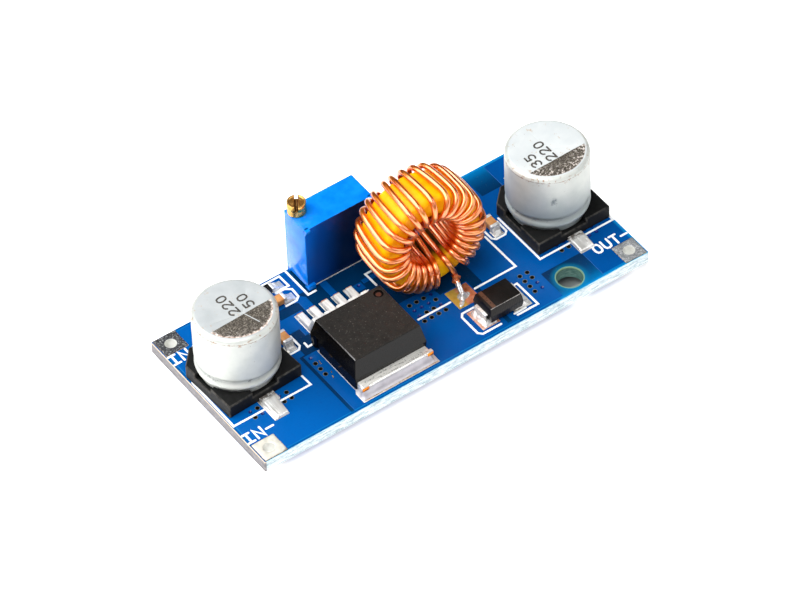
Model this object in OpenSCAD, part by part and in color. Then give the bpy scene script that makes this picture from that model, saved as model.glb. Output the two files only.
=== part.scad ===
// Step-down converter module: a populated circuit board with two can
// capacitors, a five-lead regulator, a catch diode, a wound toroid inductor,
// a multi-turn trimmer and four chip parts.
// X runs from the input end to the output end, Y to the trimmer's edge and
// Z up. The origin is below the board's centre, at the tips of the pins.

/* [Board] */
// Length of the circuit board
board_l = 54; // [53.8:0.1:56]
// Width of the circuit board
board_w = 23; // [23:0.1:25]
// Thickness of the circuit board
board_t = 1.6; // [1.2:0.1:2]
// How far the clipped pins stand out below the board
pin_below = 1.1; // [0.8:0.1:1.5]
// Diameter of the mounting hole
mount_d = 3.2; // [2.5:0.1:3.4]
// Mounting hole, distance from the board's centre along X
mount_x = 17.3; // [16.8:0.1:17.6]
// Mounting hole, distance from the board's centre along Y
mount_y = -9.2; // [-9.3:0.1:-9]
// Diameter of the four wire holes
wire_d = 1.46; // [1.2:0.02:1.6]
// Wire holes, distance from the board's centre along X
wire_x = 25.3; // [25.1:0.1:25.3]
// Wire holes, distance from the board's centre along Y
wire_y = 9.92; // [9.7:0.02:9.92]
// Diameter of the small plated vias
via_d = 0.4; // [0.3:0.05:0.5]

/* [Can capacitors] */
// Diameter of both cans
can_d = 10; // [9.8:0.1:10]
// Height of the cans above their seat
can_h = 10.2; // [9:0.1:12]
// Side of the square base plate
base_w = 10.3; // [10.2:0.1:10.4]
// Height of the base plate's corner posts
base_h = 1.75; // [1.6:0.05:1.9]
// Turn of the input capacitor on its lands, in degrees
input_turn = 2.9; // [0:0.1:3]

/* [Regulator] */
// Height of the regulator's case
reg_h = 4.36; // [4:0.02:4.6]
// Distance between neighbouring leads
lead_pitch = 1.7; // [1.6:0.05:1.75]
// Width of each lead
lead_w = 0.8; // [0.6:0.05:0.9]

/* [Inductor] */
// Outer radius of the core
core_ro = 6.55; // [6.2:0.05:6.6]
// Inner radius of the core
core_ri = 3.75; // [3.7:0.05:3.9]
// Axial length of the core
core_w = 5.6; // [5:0.1:5.8]
// Height of the core's centre above the board's underside
core_z = 9.12; // [9.1:0.02:9.3]
// Turn of the core about the vertical, in degrees
core_yaw = 3.3; // [0:0.1:4]
// Backward lean of the core, in degrees
core_lean = 2.5; // [0:0.1:3]
// Diameter of the wire
wire_thick = 0.67; // [0.5:0.01:0.7]
// Number of turns
turns = 25; // [20:1:25]

/* [Trimmer] */
// Width of the trimmer along X
trim_w = 9.5; // [9.4:0.1:9.6]
// Depth of the trimmer along Y
trim_d = 4.55; // [4.5:0.05:4.6]
// Height of the trimmer's housing
trim_h = 9.8; // [9.6:0.1:10.2]
// Diameter of the adjusting screw's head
screw_d = 2.1; // [1.9:0.05:2.15]
// How far the screw's head stands above the housing
screw_up = 1.65; // [1.2:0.05:1.8]
// Teeth on the rotor
rotor_teeth = 32; // [28:1:36]

/* [Hidden] */
$fn = 64;

plate_t = 0.05;                    // plating and land thickness
joint_t = 0.08;                    // solder under a part
z_bot = pin_below;                 // board's underside
z_top = z_bot + board_t;           // board's top face
z_land = z_top + plate_t;          // top of the lands
z_seat = z_land + joint_t;         // where the parts sit

// component positions on the board
in_cap = [-21.5, 1.7];
out_cap = [21.6, 0.8];
in_reach = 8.75;                   // front lands, from each can's centre to their ends
out_reach = 7.85;
reg_x = -7.7;
diode_at = [7.93, -8.1];
core_at = [4.03, 1.57];
coil_front = [5.61, -4.33];
coil_back = [5.7, 5.9];
trim_x = -7.97;                    // trimmer's left face
trim_y = board_w/2 - trim_d;       // trimmer's front face
screw_at = [trim_x + 1.07, board_w/2 - 1.08];
rotor_at = [trim_x + 4.95, screw_at[1], z_land + 5.1];
pin_y = trim_y + 2.07;
resistor_at = [-12.05, 9.95];
bypass_at = [-12.0, 7.6];
in_chip = [-14.77, 2.3];
out_chip = [14.78, 2.78];
chip = [2.0, 1.2];                 // length and width of the chip parts

function pin_x(i) = trim_x + trim_w/2 + 2.54*i;
function lead_x(i) = reg_x + lead_pitch*i;

// ---------------------------------------------------------------- helpers
module box(x0, x1, y0, y1, z0, z1)
  translate([x0, y0, z0]) cube([x1 - x0, y1 - y0, z1 - z0]);

// outline in X and Z, drawn out along Y
module along_y(pts, y0, y1)
  translate([0, y1, 0]) rotate([90, 0, 0]) linear_extrude(y1 - y0) polygon(pts);

// outline in Y and Z, drawn out along X
module along_x(pts, x0, x1)
  translate([x0, 0, 0]) rotate([90, 0, 90]) linear_extrude(x1 - x0) polygon(pts);

// straight round rod between two points
module rod(p, q, r) {
  d = q - p;
  translate(p) rotate([0, acos(d[2]/norm(d)), atan2(d[1], d[0])])
    cylinder(r = r, h = norm(d));
}

// four drafted sides: half sizes at the bottom, at the parting line and on top
module moulded(cx, cy, x, y, z) {
  intersection() {
    along_y([[cx - x[0], z[0]], [cx + x[0], z[0]], [cx + x[1], z[1]],
             [cx + x[2], z[2]], [cx - x[2], z[2]], [cx - x[1], z[1]]],
            cy - 20, cy + 20);
    along_x([[cy - y[0], z[0]], [cy + y[0], z[0]], [cy + y[1], z[1]],
             [cy + y[2], z[2]], [cy - y[2], z[2]], [cy - y[1], z[1]]],
            cx - 20, cx + 20);
  }
}

// ------------------------------------------------------------------ board
module via(x, y) translate([x, y, z_bot - 1]) cylinder(d = via_d, h = board_t + 2, $fn = 24);

module vias() {
  for (i = [0:3], j = [0:3]) via(-0.08 + i, -1.75 - j);
  for (j = [0:3]) via(-13.85, -1.6 - j);
  for (i = [0:1], j = [0:3]) via(12.78 + 1.04*i, -5.65 - 0.98*j);
  for (c = [in_cap[0], out_cap[0]], s = [-1, 1], i = [0:1], j = [0:1])
    via(c + s*(1.5 + i), -4.22 - 1.02*j);
}

module wire_points() for (s = [-1, 1], t = [-1, 1]) translate([s*wire_x, t*wire_y, 0]) children();

module circuit_board() color([0.03, 0.25, 0.62])
  difference() {
    box(-board_l/2, board_l/2, -board_w/2, board_w/2, z_bot, z_top);
    wire_points() translate([0, 0, z_bot - 1]) cylinder(d = wire_d + 2*plate_t, h = board_t + 2);
    translate([mount_x, mount_y, z_bot - 1]) cylinder(d = mount_d, h = board_t + 2);
    for (p = [coil_front, coil_back]) translate([p[0], p[1], z_bot - 1]) cylinder(d = 1.0, h = board_t + 2);
    for (i = [-1:1]) translate([pin_x(i), pin_y, z_bot - 1]) cylinder(d = 0.8, h = board_t + 2);
    vias();
  }

// a land on each face joined by a plated hole
module plated_hole(x, y, lx, ly, hole) {
  difference() {
    union() {
      box(x[0], x[1], y[0], y[1], z_top, z_land);
      box(x[0], x[1], y[0], y[1], z_bot - plate_t, z_bot);
      translate([lx, ly, z_bot - plate_t]) cylinder(d = hole + 2*plate_t, h = board_t + 2*plate_t);
    }
    translate([lx, ly, z_bot - 1]) cylinder(d = hole, h = board_t + 2);
  }
}

module wire_pads() color([0.78, 0.78, 0.76])
  for (s = [-1, 1], t = [-1, 1])
    plated_hole([s*wire_x - 1.5, s*wire_x + 1.5], [t*wire_y - 1.45, t*wire_y + 1.45],
                s*wire_x, t*wire_y, wire_d);

module land(x0, x1, y0, y1) box(x0, x1, y0, y1, z_top, z_land);

module component_lands() color([0.8, 0.78, 0.72]) {
  // regulator tab and leads
  land(-12.9, -2.3, -10.85, -1.1);
  for (i = [-2:2]) land(lead_x(i) - 0.55, lead_x(i) + 0.55, 1.55, 4.85);
  // can capacitors, both ends
  for (k = [[in_cap, in_reach], [out_cap, out_reach]], s = [-1, 1])
    land(k[0][0] - 1, k[0][0] + 1, k[0][1] + (s < 0 ? -k[1] : 3.2), k[0][1] + (s < 0 ? -3.2 : 8.2));
  // diode
  for (s = [-1, 1]) land(diode_at[0] + (s < 0 ? -3.5 : 1.05), diode_at[0] + (s < 0 ? -1.05 : 3.5),
                         diode_at[1] - 1.85, diode_at[1] + 1.45);
  // chip parts, two along X and two along Y
  for (p = [resistor_at, bypass_at], s = [-1, 1])
    land(p[0] + s*1.4 - 0.85, p[0] + s*1.4 + 0.85, p[1] - 0.6, p[1] + 0.6);
  for (p = [in_chip, out_chip], s = [-1, 1])
    land(p[0] - 0.65, p[0] + 0.65, p[1] + s*1.2 - 0.6, p[1] + s*1.2 + 0.6);
  // inductor and trimmer, plated through
  plated_hole([4.2, 7.25], [-5.7, -2.65], coil_front[0], coil_front[1], 0.9);
  plated_hole([4.2, 7.25], [4.4, 7.4], coil_back[0], coil_back[1], 0.9);
  for (i = [-1:1])
    plated_hole([pin_x(i) - 0.8, pin_x(i) + 0.8], [pin_y - 0.9, pin_y + 0.9], pin_x(i), pin_y, 0.7);
}

// -------------------------------------------------------- can capacitors
can_r = can_d/2;
module at_cap(c, a) translate([c[0], c[1], z_seat]) rotate([0, 0, a]) children();

module can_shell() rotate_extrude() difference() {
  union() {
    translate([0, 2.35]) square([can_r, can_h - 2.95]);
    square_to(can_r - 0.6, 2, can_h);
    translate([can_r - 0.6, can_h - 0.6]) circle(r = 0.6);
    translate([can_r - 0.45, 2.35]) circle(r = 0.45);
    square_to(can_r - 0.45, 1.9, 2.6);
    square_to(can_r - 0.5, 0.95, 2.2);
  }
  translate([can_r + 0.08, 3.1]) circle(r = 0.45);
  square_to(can_r - 0.8, 0.5, 3.9);
  square_to(can_r - 0.33, 3.85, can_h - 0.35);
  translate([-1, -1]) square([1, can_h + 2]);
}
module square_to(r, z0, z1) translate([0, z0]) square([r, z1 - z0]);

module cap_base() {
  h = base_w/2;
  difference() {
    linear_extrude(base_h)
      polygon([[-h, -h], [h, -h], [h, h - 2], [h - 2, h], [2 - h, h], [-h, h - 2]]);
    translate([0, 0, 0.9]) cylinder(r = can_r - 0.2, h = 3);
    box(-1.75, 1.75, -h - 1, h + 1, 1.1, 3);
    box(-h - 1, h + 1, -1.5, 1.5, 1.1, 3);
    // grooves for the two terminals and holes for their posts
    for (s = [-1, 1]) {
      box(-1, 1, s < 0 ? -h - 1 : 1.5, s < 0 ? -1.5 : h + 1, -1, 0.35);
      translate([0, s*2.3, -1]) cylinder(r = 0.32, h = 4);
    }
  }
}

module cap_terminals() for (s = [-1, 1]) {
  box(-0.95, 0.95, s < 0 ? -6.5 : 1.6, s < 0 ? -1.6 : 6.5, 0, 0.35);
  translate([0, s*2.3, 0.3]) cylinder(r = 0.3, h = 3.7);
}

module cap_bung() difference() {
  translate([0, 0, 0.95]) cylinder(r = can_r - 0.85, h = 2.75);
  for (s = [-1, 1]) translate([0, s*2.3, 0]) cylinder(r = 0.32, h = 5);
}

module cap_roll() difference() {
  translate([0, 0, 4]) cylinder(r = can_r - 0.6, h = can_h - 4.9);
  translate([0, 0, 3]) cylinder(r = 0.4, h = can_h);
}

module input_capacitor_can() color([0.86, 0.87, 0.86]) at_cap(in_cap, input_turn) can_shell();
module input_capacitor_base() color([0.1, 0.1, 0.1]) at_cap(in_cap, input_turn) cap_base();
module input_capacitor_bung() color([0.16, 0.15, 0.14]) at_cap(in_cap, input_turn) cap_bung();
module input_capacitor_roll() color([0.75, 0.66, 0.5]) at_cap(in_cap, input_turn) cap_roll();
module input_capacitor_terminals() color([0.75, 0.75, 0.73]) at_cap(in_cap, input_turn) cap_terminals();
module output_capacitor_can() color([0.86, 0.87, 0.86]) at_cap(out_cap, 0) can_shell();
module output_capacitor_base() color([0.1, 0.1, 0.1]) at_cap(out_cap, 0) cap_base();
module output_capacitor_bung() color([0.16, 0.15, 0.14]) at_cap(out_cap, 0) cap_bung();
module output_capacitor_roll() color([0.75, 0.66, 0.5]) at_cap(out_cap, 0) cap_roll();
module output_capacitor_terminals() color([0.75, 0.75, 0.73]) at_cap(out_cap, 0) cap_terminals();

module capacitor_solder() color([0.8, 0.8, 0.79])
  for (k = [[in_cap, input_turn, in_reach], [out_cap, 0, out_reach]], s = [-1, 1]) {
    c = k[0];
    tip = c[1] + s*((s < 0 ? k[2] : 8.2) - 0.15);
    // a wedge from the strip's end down to the end of its land
    difference() {
      along_x([[c[1] + s*3.3, z_land], [tip, z_land], [tip, z_land + 0.05],
               [c[1] + s*6.7, z_seat + 0.3], [c[1] + s*6.3, z_seat + 0.3], [c[1] + s*6.3, z_seat],
               [c[1] + s*3.3, z_seat]], c[0] - 0.95, c[0] + 0.95);
      at_cap(c, k[1]) cap_terminals();
      at_cap(c, k[1]) cap_base();
    }
  }

// --------------------------------------------------------------- regulator
tab_t = 1.27;
module reg_lead(i, inner)
  along_x(concat(inner, [[0.95, z_seat + 2], [1.75, z_seat], [4.5, z_seat], [4.5, z_seat + 0.5],
                         [2.1, z_seat + 0.5], [1.3, z_seat + 2.5]]),
          lead_x(i) - lead_w/2, lead_x(i) + lead_w/2);

module regulator_leads() color([0.78, 0.77, 0.74])
  for (i = [-2, -1, 1, 2]) reg_lead(i, [[-1.4, z_seat + 2.5], [-1.4, z_seat + 2]]);

module regulator_tab() color([0.82, 0.81, 0.78]) {
  union() {
    box(-12.4, -3, -10.3, -1.7, z_seat, z_seat + tab_t);
    reg_lead(0, [[-2, z_seat + 2.5], [-3, z_seat + tab_t], [-3, z_seat + tab_t - 0.2],
                 [-2.2, z_seat + tab_t - 0.2], [-1.6, z_seat + 2]]);
  }
}

module regulator_die() color([0.35, 0.36, 0.4])
  box(reg_x - 1.5, reg_x + 1.5, -6.6, -4.2, z_seat + tab_t, z_seat + tab_t + 0.3);

// a ribbon arched from the die to the inner end of a lead
module bond_wire(i) {
  a = [reg_x + 0.55*i, -4.7, z_seat + tab_t + 0.3];
  b = [lead_x(i), -1.1, z_seat + 2.5];
  d = b - a;
  l = norm([d[0], d[1]]);
  e = d[2];
  translate(a) rotate([90, 0, atan2(d[1], d[0])]) translate([0, 0, -0.11]) linear_extrude(0.22)
    polygon([[0, 0], [0, 1], [0.5, 1.6], [l - 0.6, 1.75], [l, 1.3], [l, e], [l - 0.2, e],
             [l - 0.2, 1.2], [l - 0.7, 1.53], [0.6, 1.4], [0.2, 0.9], [0.2, 0]]);
}
module regulator_bond_wires() color([0.8, 0.72, 0.5])
  for (i = [-2, -1, 1, 2]) bond_wire(i);

module regulator_case() color([0.13, 0.13, 0.14])
  difference() {
    moulded(reg_x, -4.43, [4.85, 5, 4.52], [4.42, 4.52, 3.94],
            [z_seat + 0.03, z_seat + 1.9, z_seat + reg_h]);
    regulator_tab();
    regulator_leads();
    regulator_die();
    regulator_bond_wires();
    // shallow round mark on top and a clamp notch in each side
    translate([-4.12, -1.52, z_seat + reg_h - 0.12]) cylinder(r = 0.55, h = 1);
    for (s = [-1, 1]) translate([reg_x + s*5.05, -1.1, z_seat - 1]) cylinder(r = 0.5, h = 3.2);
  }

module regulator_solder() color([0.82, 0.82, 0.8]) {
  along_x([[-1.2, z_land], [-1.2, z_seat], [-10.3, z_seat], [-10.3, z_seat + 0.8],
           [-10.42, z_seat + 0.35], [-10.8, z_land + 0.04], [-10.8, z_land]], -12.6, -2.6);
  for (i = [-2:2])
    along_x([[1.75, z_land], [1.75, z_seat], [4.5, z_seat], [4.5, z_seat + 0.4],
             [4.6, z_seat + 0.12], [4.8, z_land]], lead_x(i) - 0.45, lead_x(i) + 0.45);
}

// ------------------------------------------------------------------- diode
module diode_strip(s, z, reach)
  along_y([[diode_at[0] + s*2.65, z + 0.2], [diode_at[0] + s*2.65, z_seat],
           [diode_at[0] + s*1.2, z_seat], [diode_at[0] + s*1.2, z_seat + 0.2],
           [diode_at[0] + s*2.45, z_seat + 0.2], [diode_at[0] + s*2.45, z],
           [diode_at[0] - s*reach, z], [diode_at[0] - s*reach, z + 0.2]],
          diode_at[1] - 1.05, diode_at[1] + 1.05);

module diode_terminals() color([0.78, 0.77, 0.75]) {
  diode_strip(-1, z_seat + 0.85, 0.9);
  diode_strip(1, z_seat + 1.3, 0.9);
}
module diode_die() color([0.3, 0.31, 0.34])
  box(diode_at[0] - 0.8, diode_at[0] + 0.8, diode_at[1] - 0.8, diode_at[1] + 0.8, z_seat + 1.05, z_seat + 1.3);
module diode_case() color([0.1, 0.1, 0.1])
  difference() {
    moulded(diode_at[0], diode_at[1], [2.2, 2.3, 2.15], [1.7, 1.8, 1.52],
            [z_seat + 0.2, z_seat + 1.15, z_seat + 2.2]);
    diode_terminals();
    diode_die();
  }
module diode_solder() color([0.8, 0.8, 0.79])
  for (s = [-1, 1])
    along_y([[diode_at[0] + s*1.2, z_land], [diode_at[0] + s*3.4, z_land],
             [diode_at[0] + s*2.95, z_seat + 0.25], [diode_at[0] + s*2.65, z_seat + 0.85],
             [diode_at[0] + s*2.65, z_seat], [diode_at[0] + s*1.2, z_seat]],
            diode_at[1] - 1.2, diode_at[1] + 1.2);

// ---------------------------------------------------------------- inductor
core_c = [core_at[0], core_at[1], z_bot + core_z];
corner = 0.55;                                  // rounding of the core's edges
gap = wire_thick/2 + 0.03;                      // wire centre above the core
cx_axis = [cos(core_yaw), -sin(core_yaw), 0];
cz_axis = [-sin(core_yaw)*cos(core_lean), -cos(core_yaw)*cos(core_lean), sin(core_lean)];
cy_axis = cross(cz_axis, cx_axis);
function on_coil(r, a, h) = core_c + r*cos(a)*cx_axis + r*sin(a)*cy_axis + h*cz_axis;
function around(a) = -sin(a)*cx_axis + cos(a)*cy_axis;

module inductor_core() color([0.95, 0.74, 0.1])
  translate(core_c) rotate([90 - core_lean, 0, -core_yaw])
    rotate_extrude() union() {
      translate([core_ri, corner - core_w/2]) square([core_ro - core_ri, core_w - 2*corner]);
      translate([core_ri + corner, -core_w/2]) square([core_ro - core_ri - 2*corner, core_w]);
      for (r = [core_ri + corner, core_ro - corner], s = [-1, 1])
        translate([r, s*(core_w/2 - corner)]) circle(r = corner, $fn = 32);
    }

// angle of each turn outside at the front, outside at the back and in the hole
last = turns - 1;
function turn_front(j) = 308 + 324*j/last - 8.5*sin(180*min(1, j/(0.8*last)))
                         + (j > 0.8*last ? 5*sin(180*(j/last - 0.8)/0.2) : 0);
function turn_back(j) = turn_front(j) - 8*sin(360*(j/last - 0.5));
function turn_hole(j) = 310 + 311*j/last;

// one rounded corner of a turn, as [point, direction around the core]
function bend(r, h, from, a) = [for (i = [0:3]) let (t = from + 30*i)
  [on_coil(r + (corner + gap)*cos(t), a, h + (corner + gap)*sin(t)), around(a)]];
r_out = core_ro - corner;
r_in = core_ri + corner;
h_bend = core_w/2 - corner;
function outside(j) = concat(bend(r_out, -h_bend, -90, turn_back(j)), bend(r_out, h_bend, 0, turn_front(j)));
function inside(a) = concat(bend(r_in, h_bend, 90, a), bend(r_in, -h_bend, 180, a + 6));
function on_lead(a, pts) = [for (p = pts) [p, around(a)]];

lead_in = [[coil_front[0], coil_front[1], 0.1], [coil_front[0], coil_front[1], z_top + 0.2],
  [5.7, -3.75, z_top + 0.65], [5.88, -2.95, z_top + 1.05], [6.1, -2.2, z_top + 1.45], on_coil(5.9, 291, core_w/2 + gap)];
lead_out = [on_coil(5.2, 268, -core_w/2 - gap), on_coil(6.5, 272, -core_w/2 - gap - 0.05), [4.75, 5.25, z_top + 0.62],
  [5.4, 5.7, z_top + 0.45], [coil_back[0], coil_back[1], z_top], [coil_back[0], coil_back[1], 0.1]];
route = concat(on_lead(291, lead_in), inside(297),
  [for (j = [0:last]) each concat(outside(j), inside(turn_hole(j)))], on_lead(268, lead_out));

sides = 6;
function unit(v) = v/norm(v);
function heading(i) = unit(route[min(i + 1, len(route) - 1)][0] - route[max(i - 1, 0)][0]);
function ring(i) = let (t = heading(i), u = unit(route[i][1] - (route[i][1]*t)*t), v = cross(t, u))
  [for (k = [0:sides - 1]) route[i][0] + wire_thick/2*(cos(360*k/sides)*u + sin(360*k/sides)*v)];

module inductor_winding() color([0.8, 0.38, 0.14]) {
  n = len(route);
  polyhedron(
    points = [for (i = [0:n - 1]) each ring(i)],
    faces = concat([[for (k = [0:sides - 1]) k]],
      [for (i = [0:n - 2], k = [0:sides - 1]) let (a = i*sides + k, b = i*sides + (k + 1) % sides)
        each [[a, a + sides, b], [b, a + sides, b + sides]]],
      [[for (k = [sides - 1:-1:0]) (n - 1)*sides + k]]));
}

// a cone of solder on each face of the board
module solder_cone(x, y, r, hole) difference() {
  union() {
    translate([x, y, z_land]) cylinder(r1 = r, r2 = hole + 0.12, h = 0.55);
    translate([x, y, z_bot - plate_t - 0.7]) cylinder(r1 = hole + 0.12, r2 = r, h = 0.7);
    translate([x, y, z_bot - 0.4]) cylinder(r = 0.43, h = board_t + 0.8);
  }
  translate([x, y, z_bot - 3]) cylinder(r = hole, h = 8);
}
// channel for the wire where it leans out of a joint at p towards q: floor as [distance, height above the board]
module lead_room(p, q, bed) {
  w = wire_thick/2 + 0.05;
  translate([p[0], p[1], z_top]) rotate([90, 0, atan2(q[1] - p[1], q[0] - p[0])])
    translate([0, 0, -w]) linear_extrude(2*w) polygon(concat([[0, 2]], bed, [[1.6, 2]]));
}
module inductor_solder() color([0.82, 0.82, 0.8]) {
  difference() {
    solder_cone(coil_front[0], coil_front[1], 1.25, wire_thick/2 + 0.02);
    lead_room(coil_front, lead_in[3], [[0, -0.3], [0.59, 0.18], [1.6, 0.65]]);
  }
  difference() {
    solder_cone(coil_back[0], coil_back[1], 1.25, wire_thick/2 + 0.02);
    lead_room(coil_back, lead_out[2], [[0, -0.5], [0.36, -0.15], [0.42, 0.07], [1.6, 0.32]]);
  }
}

// ----------------------------------------------------------------- trimmer
wall = 0.7;
trim_x1 = trim_x + trim_w;
z_cav = z_land + trim_h - 0.9;               // roof of the cavity
module about_screw(r, z0, z1) translate([screw_at[0], screw_at[1], z0]) cylinder(r = r, h = z1 - z0);
module about_rotor(r, y0, y1) translate([rotor_at[0], y1, rotor_at[2]]) rotate([90, 0, 0]) cylinder(r = r, h = y1 - y0);

module trimmer_housing() color([0.03, 0.32, 0.85])
  difference() {
    union() {
      difference() {
        union() {
          box(trim_x, trim_x1, trim_y, board_w/2, z_land + 0.35, z_land + trim_h);
          // feet
          for (x = [trim_x, trim_x1 - 1.1]) {
            box(x, x + 1.1, trim_y, trim_y + 0.6, z_land, z_land + 1);
            box(x, x + 1.1, board_w/2 - 0.45, board_w/2, z_land, z_land + 1);
          }
        }
        box(trim_x + wall, trim_x1 - wall, trim_y + wall, board_w/2 - 0.5, z_land - 1, z_cav);
        // shallow panel in the front face
        box(trim_x + 0.9, trim_x1 - 0.9, trim_y - 1, trim_y + 0.12, z_land - 1, z_land + trim_h - 0.9);
      }
      // bearing for the screw's lower end, and the rotor's pivot
      box(trim_x + 0.3, trim_x + 1.9, trim_y + 2.6, board_w/2 - 0.3, z_land + 1.2, z_land + 2.3);
      about_rotor(0.8, rotor_at[1] + 0.1, board_w/2 - 0.3);
    }
    about_screw(0.55, z_land + 1.5, z_land + 4);
    about_screw(0.8, z_land + 2.3, z_cav - 0.4);
    about_screw(0.85, z_cav - 0.5, z_cav);
    about_screw(0.95, z_cav - 0.1, z_cav + 0.45);
    about_screw(0.63, z_cav, z_land + trim_h + 1);
  }

module trimmer_screw() color([0.78, 0.6, 0.25]) {
  top = z_land + trim_h + 0.05;
  difference() {
    union() {
      about_screw(screw_d/2, top, top + screw_up);
      about_screw(0.6, z_cav - 0.1, top + 0.5);
      about_screw(0.8, z_cav - 0.46, z_cav - 0.06);
      about_screw(0.55, z_land + 2.4, z_cav - 0.3);
      about_screw(0.5, z_land + 1.55, z_land + 3);
    }
    translate([screw_at[0], screw_at[1], 0]) rotate([0, 0, -34])
      box(-0.25, 0.25, -3, 3, top + screw_up - 0.75, top + screw_up + 1);
  }
}

module trimmer_o_ring() color([0.12, 0.12, 0.12])
  translate([screw_at[0], screw_at[1], z_cav + 0.2]) rotate_extrude() translate([0.765, 0]) circle(r = 0.16, $fn = 32);

// worm wheel with straight teeth on a hub that turns on the housing's pivot
module trimmer_rotor() color([0.9, 0.88, 0.8]) {
  step = 360/rotor_teeth;
  translate([rotor_at[0], rotor_at[1] + 0.45, rotor_at[2]]) rotate([90, 0, 0])
    difference() {
      linear_extrude(0.9) polygon([for (i = [0:rotor_teeth - 1]) each
        [for (q = [[2.85, -0.32], [3.2, -0.14], [3.2, 0.14], [2.85, 0.32]])
          [q[0]*cos((i + q[1])*step), q[0]*sin((i + q[1])*step)]]]);
      translate([0, 0, -0.1]) cylinder(r = 0.85, h = 0.6);
    }
}

// sprung contact on the rotor's face
module trimmer_wiper() color([0.85, 0.68, 0.35]) {
  y1 = rotor_at[1] - 0.45;
  union() {
    about_rotor(0.7, y1 - 0.15, y1);
    box(rotor_at[0] - 0.4, rotor_at[0] + 0.4, y1 - 0.15, y1, rotor_at[2], rotor_at[2] + 2.6);
    translate([rotor_at[0], y1 - 0.1, rotor_at[2] + 2.2]) rotate([90, 0, 0]) cylinder(r = 0.25, h = y1 - 0.15 - el_y[1]);
    about_rotor(0.3, el_y[1] + 0.05, y1 - 0.1);
  }
}

el_y = [trim_y + 1.75, trim_y + 2.4];
module trimmer_element() color([0.9, 0.9, 0.86])
  difference() {
    box(trim_x + 0.9, trim_x1 - 0.9, el_y[0], el_y[1], z_land + 1.2, z_land + 8.7);
    for (i = [-1:1]) translate([pin_x(i), pin_y, z_land]) cylinder(r = 0.25, h = 2.2, $fn = 32);
  }

module trimmer_pins() color([0.8, 0.79, 0.75])
  for (i = [-1:1]) translate([pin_x(i), pin_y, 0]) cylinder(r = 0.25, h = z_land + 2.2, $fn = 32);

// resin that closes the housing from below and in front of the element
module trimmer_seal() color([0.06, 0.16, 0.4])
  difference() {
    union() {
      box(trim_x + wall, trim_x1 - wall, trim_y + wall, board_w/2 - 0.5, z_land + 0.45, z_land + 1.15);
      box(trim_x + wall, trim_x1 - wall, trim_y + wall, el_y[0], z_land + 0.45, z_cav);
    }
    for (i = [-1:1]) translate([pin_x(i), pin_y, 0]) cylinder(r = 0.25, h = 9, $fn = 32);
  }

module trimmer_solder() color([0.82, 0.82, 0.8])
  for (i = [-1:1]) difference() {
    union() {
      translate([pin_x(i), pin_y, z_bot - plate_t - 0.7]) cylinder(r1 = 0.36, r2 = 0.78, h = 0.7);
      translate([pin_x(i), pin_y, z_bot - 0.4]) cylinder(r = 0.34, h = board_t + 0.3);
    }
    translate([pin_x(i), pin_y, -1]) cylinder(r = 0.25, h = 9, $fn = 32);
  }

// -------------------------------------------------------------- chip parts
cap_len = 0.42;                              // length of each metal end
module at_chip(p, a) translate([p[0], p[1], z_seat]) rotate([0, 0, a]) children();
module chip_core(h) box(0.05 - chip[0]/2, chip[0]/2 - 0.05, 0.05 - chip[1]/2, chip[1]/2 - 0.05, 0.05, h - 0.05);
module chip_ends(h) for (s = [-1, 1]) difference() {
  box(s < 0 ? -chip[0]/2 : chip[0]/2 - cap_len, s < 0 ? cap_len - chip[0]/2 : chip[0]/2,
      -chip[1]/2, chip[1]/2, 0, h);
  chip_core(h);
}
module resistor_body() color([0.07, 0.07, 0.07]) at_chip(resistor_at, 0) chip_core(0.6);
module resistor_ends() color([0.85, 0.85, 0.84]) at_chip(resistor_at, 0) chip_ends(0.6);
module bypass_chip_capacitor_body() color([0.72, 0.5, 0.28]) at_chip(bypass_at, 0) chip_core(0.9);
module bypass_chip_capacitor_ends() color([0.85, 0.85, 0.84]) at_chip(bypass_at, 0) chip_ends(0.9);
module input_chip_capacitor_body() color([0.72, 0.5, 0.28]) at_chip(in_chip, 90) chip_core(0.95);
module input_chip_capacitor_ends() color([0.85, 0.85, 0.84]) at_chip(in_chip, 90) chip_ends(0.95);
module output_chip_capacitor_body() color([0.72, 0.5, 0.28]) at_chip(out_chip, 90) chip_core(0.95);
module output_chip_capacitor_ends() color([0.85, 0.85, 0.84]) at_chip(out_chip, 90) chip_ends(0.95);

module chip_solder() color([0.82, 0.82, 0.8])
  for (k = [[resistor_at, 0, 2.2], [bypass_at, 0, 2.2], [in_chip, 90, 1.75], [out_chip, 90, 1.75]], s = [-1, 1])
    translate([k[0][0], k[0][1], 0]) rotate([0, 0, k[1]])
      along_y([[s*0.6, z_land], [s*k[2], z_land], [s*1.35, z_land + 0.18], [s*1, z_seat + 0.4],
               [s*1, z_seat], [s*0.6, z_seat]], -0.55, 0.55);

circuit_board();
wire_pads();
component_lands();
input_capacitor_can();
input_capacitor_base();
input_capacitor_bung();
input_capacitor_roll();
input_capacitor_terminals();
output_capacitor_can();
output_capacitor_base();
output_capacitor_bung();
output_capacitor_roll();
output_capacitor_terminals();
regulator_case();
regulator_tab();
regulator_leads();
regulator_die();
regulator_bond_wires();
diode_case();
diode_terminals();
diode_die();
inductor_core();
inductor_winding();
trimmer_housing();
trimmer_screw();
trimmer_o_ring();
trimmer_rotor();
trimmer_wiper();
trimmer_element();
trimmer_pins();
trimmer_seal();
resistor_body();
resistor_ends();
input_chip_capacitor_body();
input_chip_capacitor_ends();
bypass_chip_capacitor_body();
bypass_chip_capacitor_ends();
output_chip_capacitor_body();
output_chip_capacitor_ends();
regulator_solder();
capacitor_solder();
diode_solder();
chip_solder();
inductor_solder();
trimmer_solder();
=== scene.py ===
import math

import bmesh
import bpy
import numpy as np
from mathutils import Matrix, Vector
from mathutils.geometry import delaunay_2d_cdt


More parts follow.
